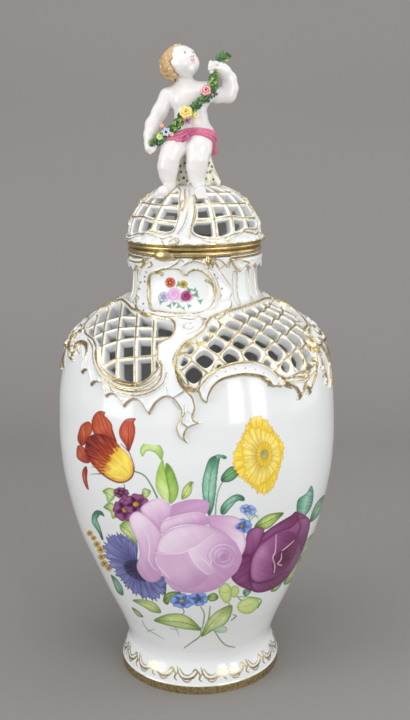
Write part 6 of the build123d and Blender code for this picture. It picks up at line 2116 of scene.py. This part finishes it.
collar = bpy.data.objects["lid_collar"]
collar.data.materials.clear()
collar.data.materials.append(plain_porcelain_material())
belly = build_belly()
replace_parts(belly, "body_belly", "foot_ring")
build_inside()
shoulder = build_shoulder()
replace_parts(shoulder, "body_shoulder", "neck_collar", "square_frame_front", "square_frame_rear",
            "diamond_frame_front", "diamond_frame_rear",
            "shell_scroll_front", "shell_scroll_rear", "side_crest_right", "side_crest_left",
            "cartouche_front", "cartouche_rear")
lid = build_lid()
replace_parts(lid, "lid_dome", "lid_border", "lid_ribs")
build_rims()
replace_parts(bpy.data.objects["neck_gilt_rim"], "neck_rim")
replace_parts(bpy.data.objects["lid_gilt_rim"], "lid_rim")
skin, skin_clay = build_skin()
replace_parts(skin, "putto_torso", "putto_head", "putto_right_arm", "putto_left_arm", "putto_right_leg",
            "putto_left_leg")
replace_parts(build_hair(), "putto_hair")
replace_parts(build_sash(skin_clay), "sash")
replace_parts(build_stump(), "tree_stump")
leaves, stem, red, yellow, purple, blue = build_garland()
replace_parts(leaves, "garland")
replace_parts(red, "red_rose")
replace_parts(yellow, "yellow_rose")
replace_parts(purple, "purple_blossom")
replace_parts(blue, "blue_blossom")


# Floor, backdrop and light
def stage_material(name, low, high):
    n = Nodes(name)
    colour = n.mix(n.span(n.noise(1.3, 2.0), 0.0, 1.0), low, high)
    n.shader(Base_Color=colour, Roughness=0.85)
    return n.material


PAPER_GREYS = (140, 136, 133), (145, 141, 138)


def add_stage():
    """A sweep of floor and backdrop in one sheet."""
    wide, front, back, bend, high = 2.6, -1.6, 1.1, 0.5, 2.4  # metres
    line = [(front, 0.0), (back - bend, 0.0)]
    for k in range(1, 13):
        a = math.pi / 2 * k / 12
        line.append((back - bend + bend * math.sin(a), bend - bend * math.cos(a)))
    line.append((back, high))
    points = [(x * 1000, y * 1000, z * 1000) for y, z in line for x in (-wide, wide)]
    faces = [(2 * k, 2 * k + 1, 2 * k + 3, 2 * k + 2) for k in range(len(line) - 1)]
    sweep = mesh_object("backdrop", points, faces, None, stage_material("warm_grey_paper", *PAPER_GREYS))


LAMPS = (  # name, place, target, width, height, power and whether the glaze mirrors it
    ("window_right_a", (0.74, -1.25, 0.54), (0, 0, 0.25), 0.3, 0.9, 3.9, True),
    ("window_right_b", (1.1, -0.95, 0.54), (0, 0, 0.25), 0.32, 0.9, 4.0, True),
    ("fill_right", (1.7, 0.3, 0.6), (0, 0, 0.25), 1.2, 1.4, 5.5, True),
    ("fill_low", (-0.3, -1.9, 0.1), (0, 0, 0.2), 2.0, 0.5, 8.5, False),
    ("softbox_left", (-1.5, -0.7, 0.7), (0, 0, 0.25), 0.9, 1.3, 12.5, True),
    ("softbox_top", (0.1, -0.2, 1.7), (0, 0, 0.2), 1.4, 1.2, 9.5, True),
)
WORLD_COLOUR, WORLD_STRENGTH = (0.79, 0.82, 0.86, 1), 0.7


def area_light(name, place, target, width, height, power, mirrored):
    data = bpy.data.lights.new(name, "AREA")
    data.shape = "RECTANGLE"
    data.size, data.size_y = width, height
    data.energy = power
    lamp = bpy.data.objects.new(name, data)
    bpy.context.scene.collection.objects.link(lamp)
    lamp.visible_glossy = mirrored
    lamp.location = place
    lamp.rotation_euler = (Vector(target) - Vector(place)).to_track_quat("-Z", "Y").to_euler()


def add_lights():
    world = bpy.data.worlds.new("studio")
    world.use_nodes = True
    background = world.node_tree.nodes["Background"]
    background.inputs[0].default_value = WORLD_COLOUR
    background.inputs[1].default_value = WORLD_STRENGTH
    bpy.context.scene.world = world
    for lamp in LAMPS:
        area_light(*lamp)


add_camera()
add_stage()
add_lights()
bpy.context.scene.view_settings.view_transform = "Standard"
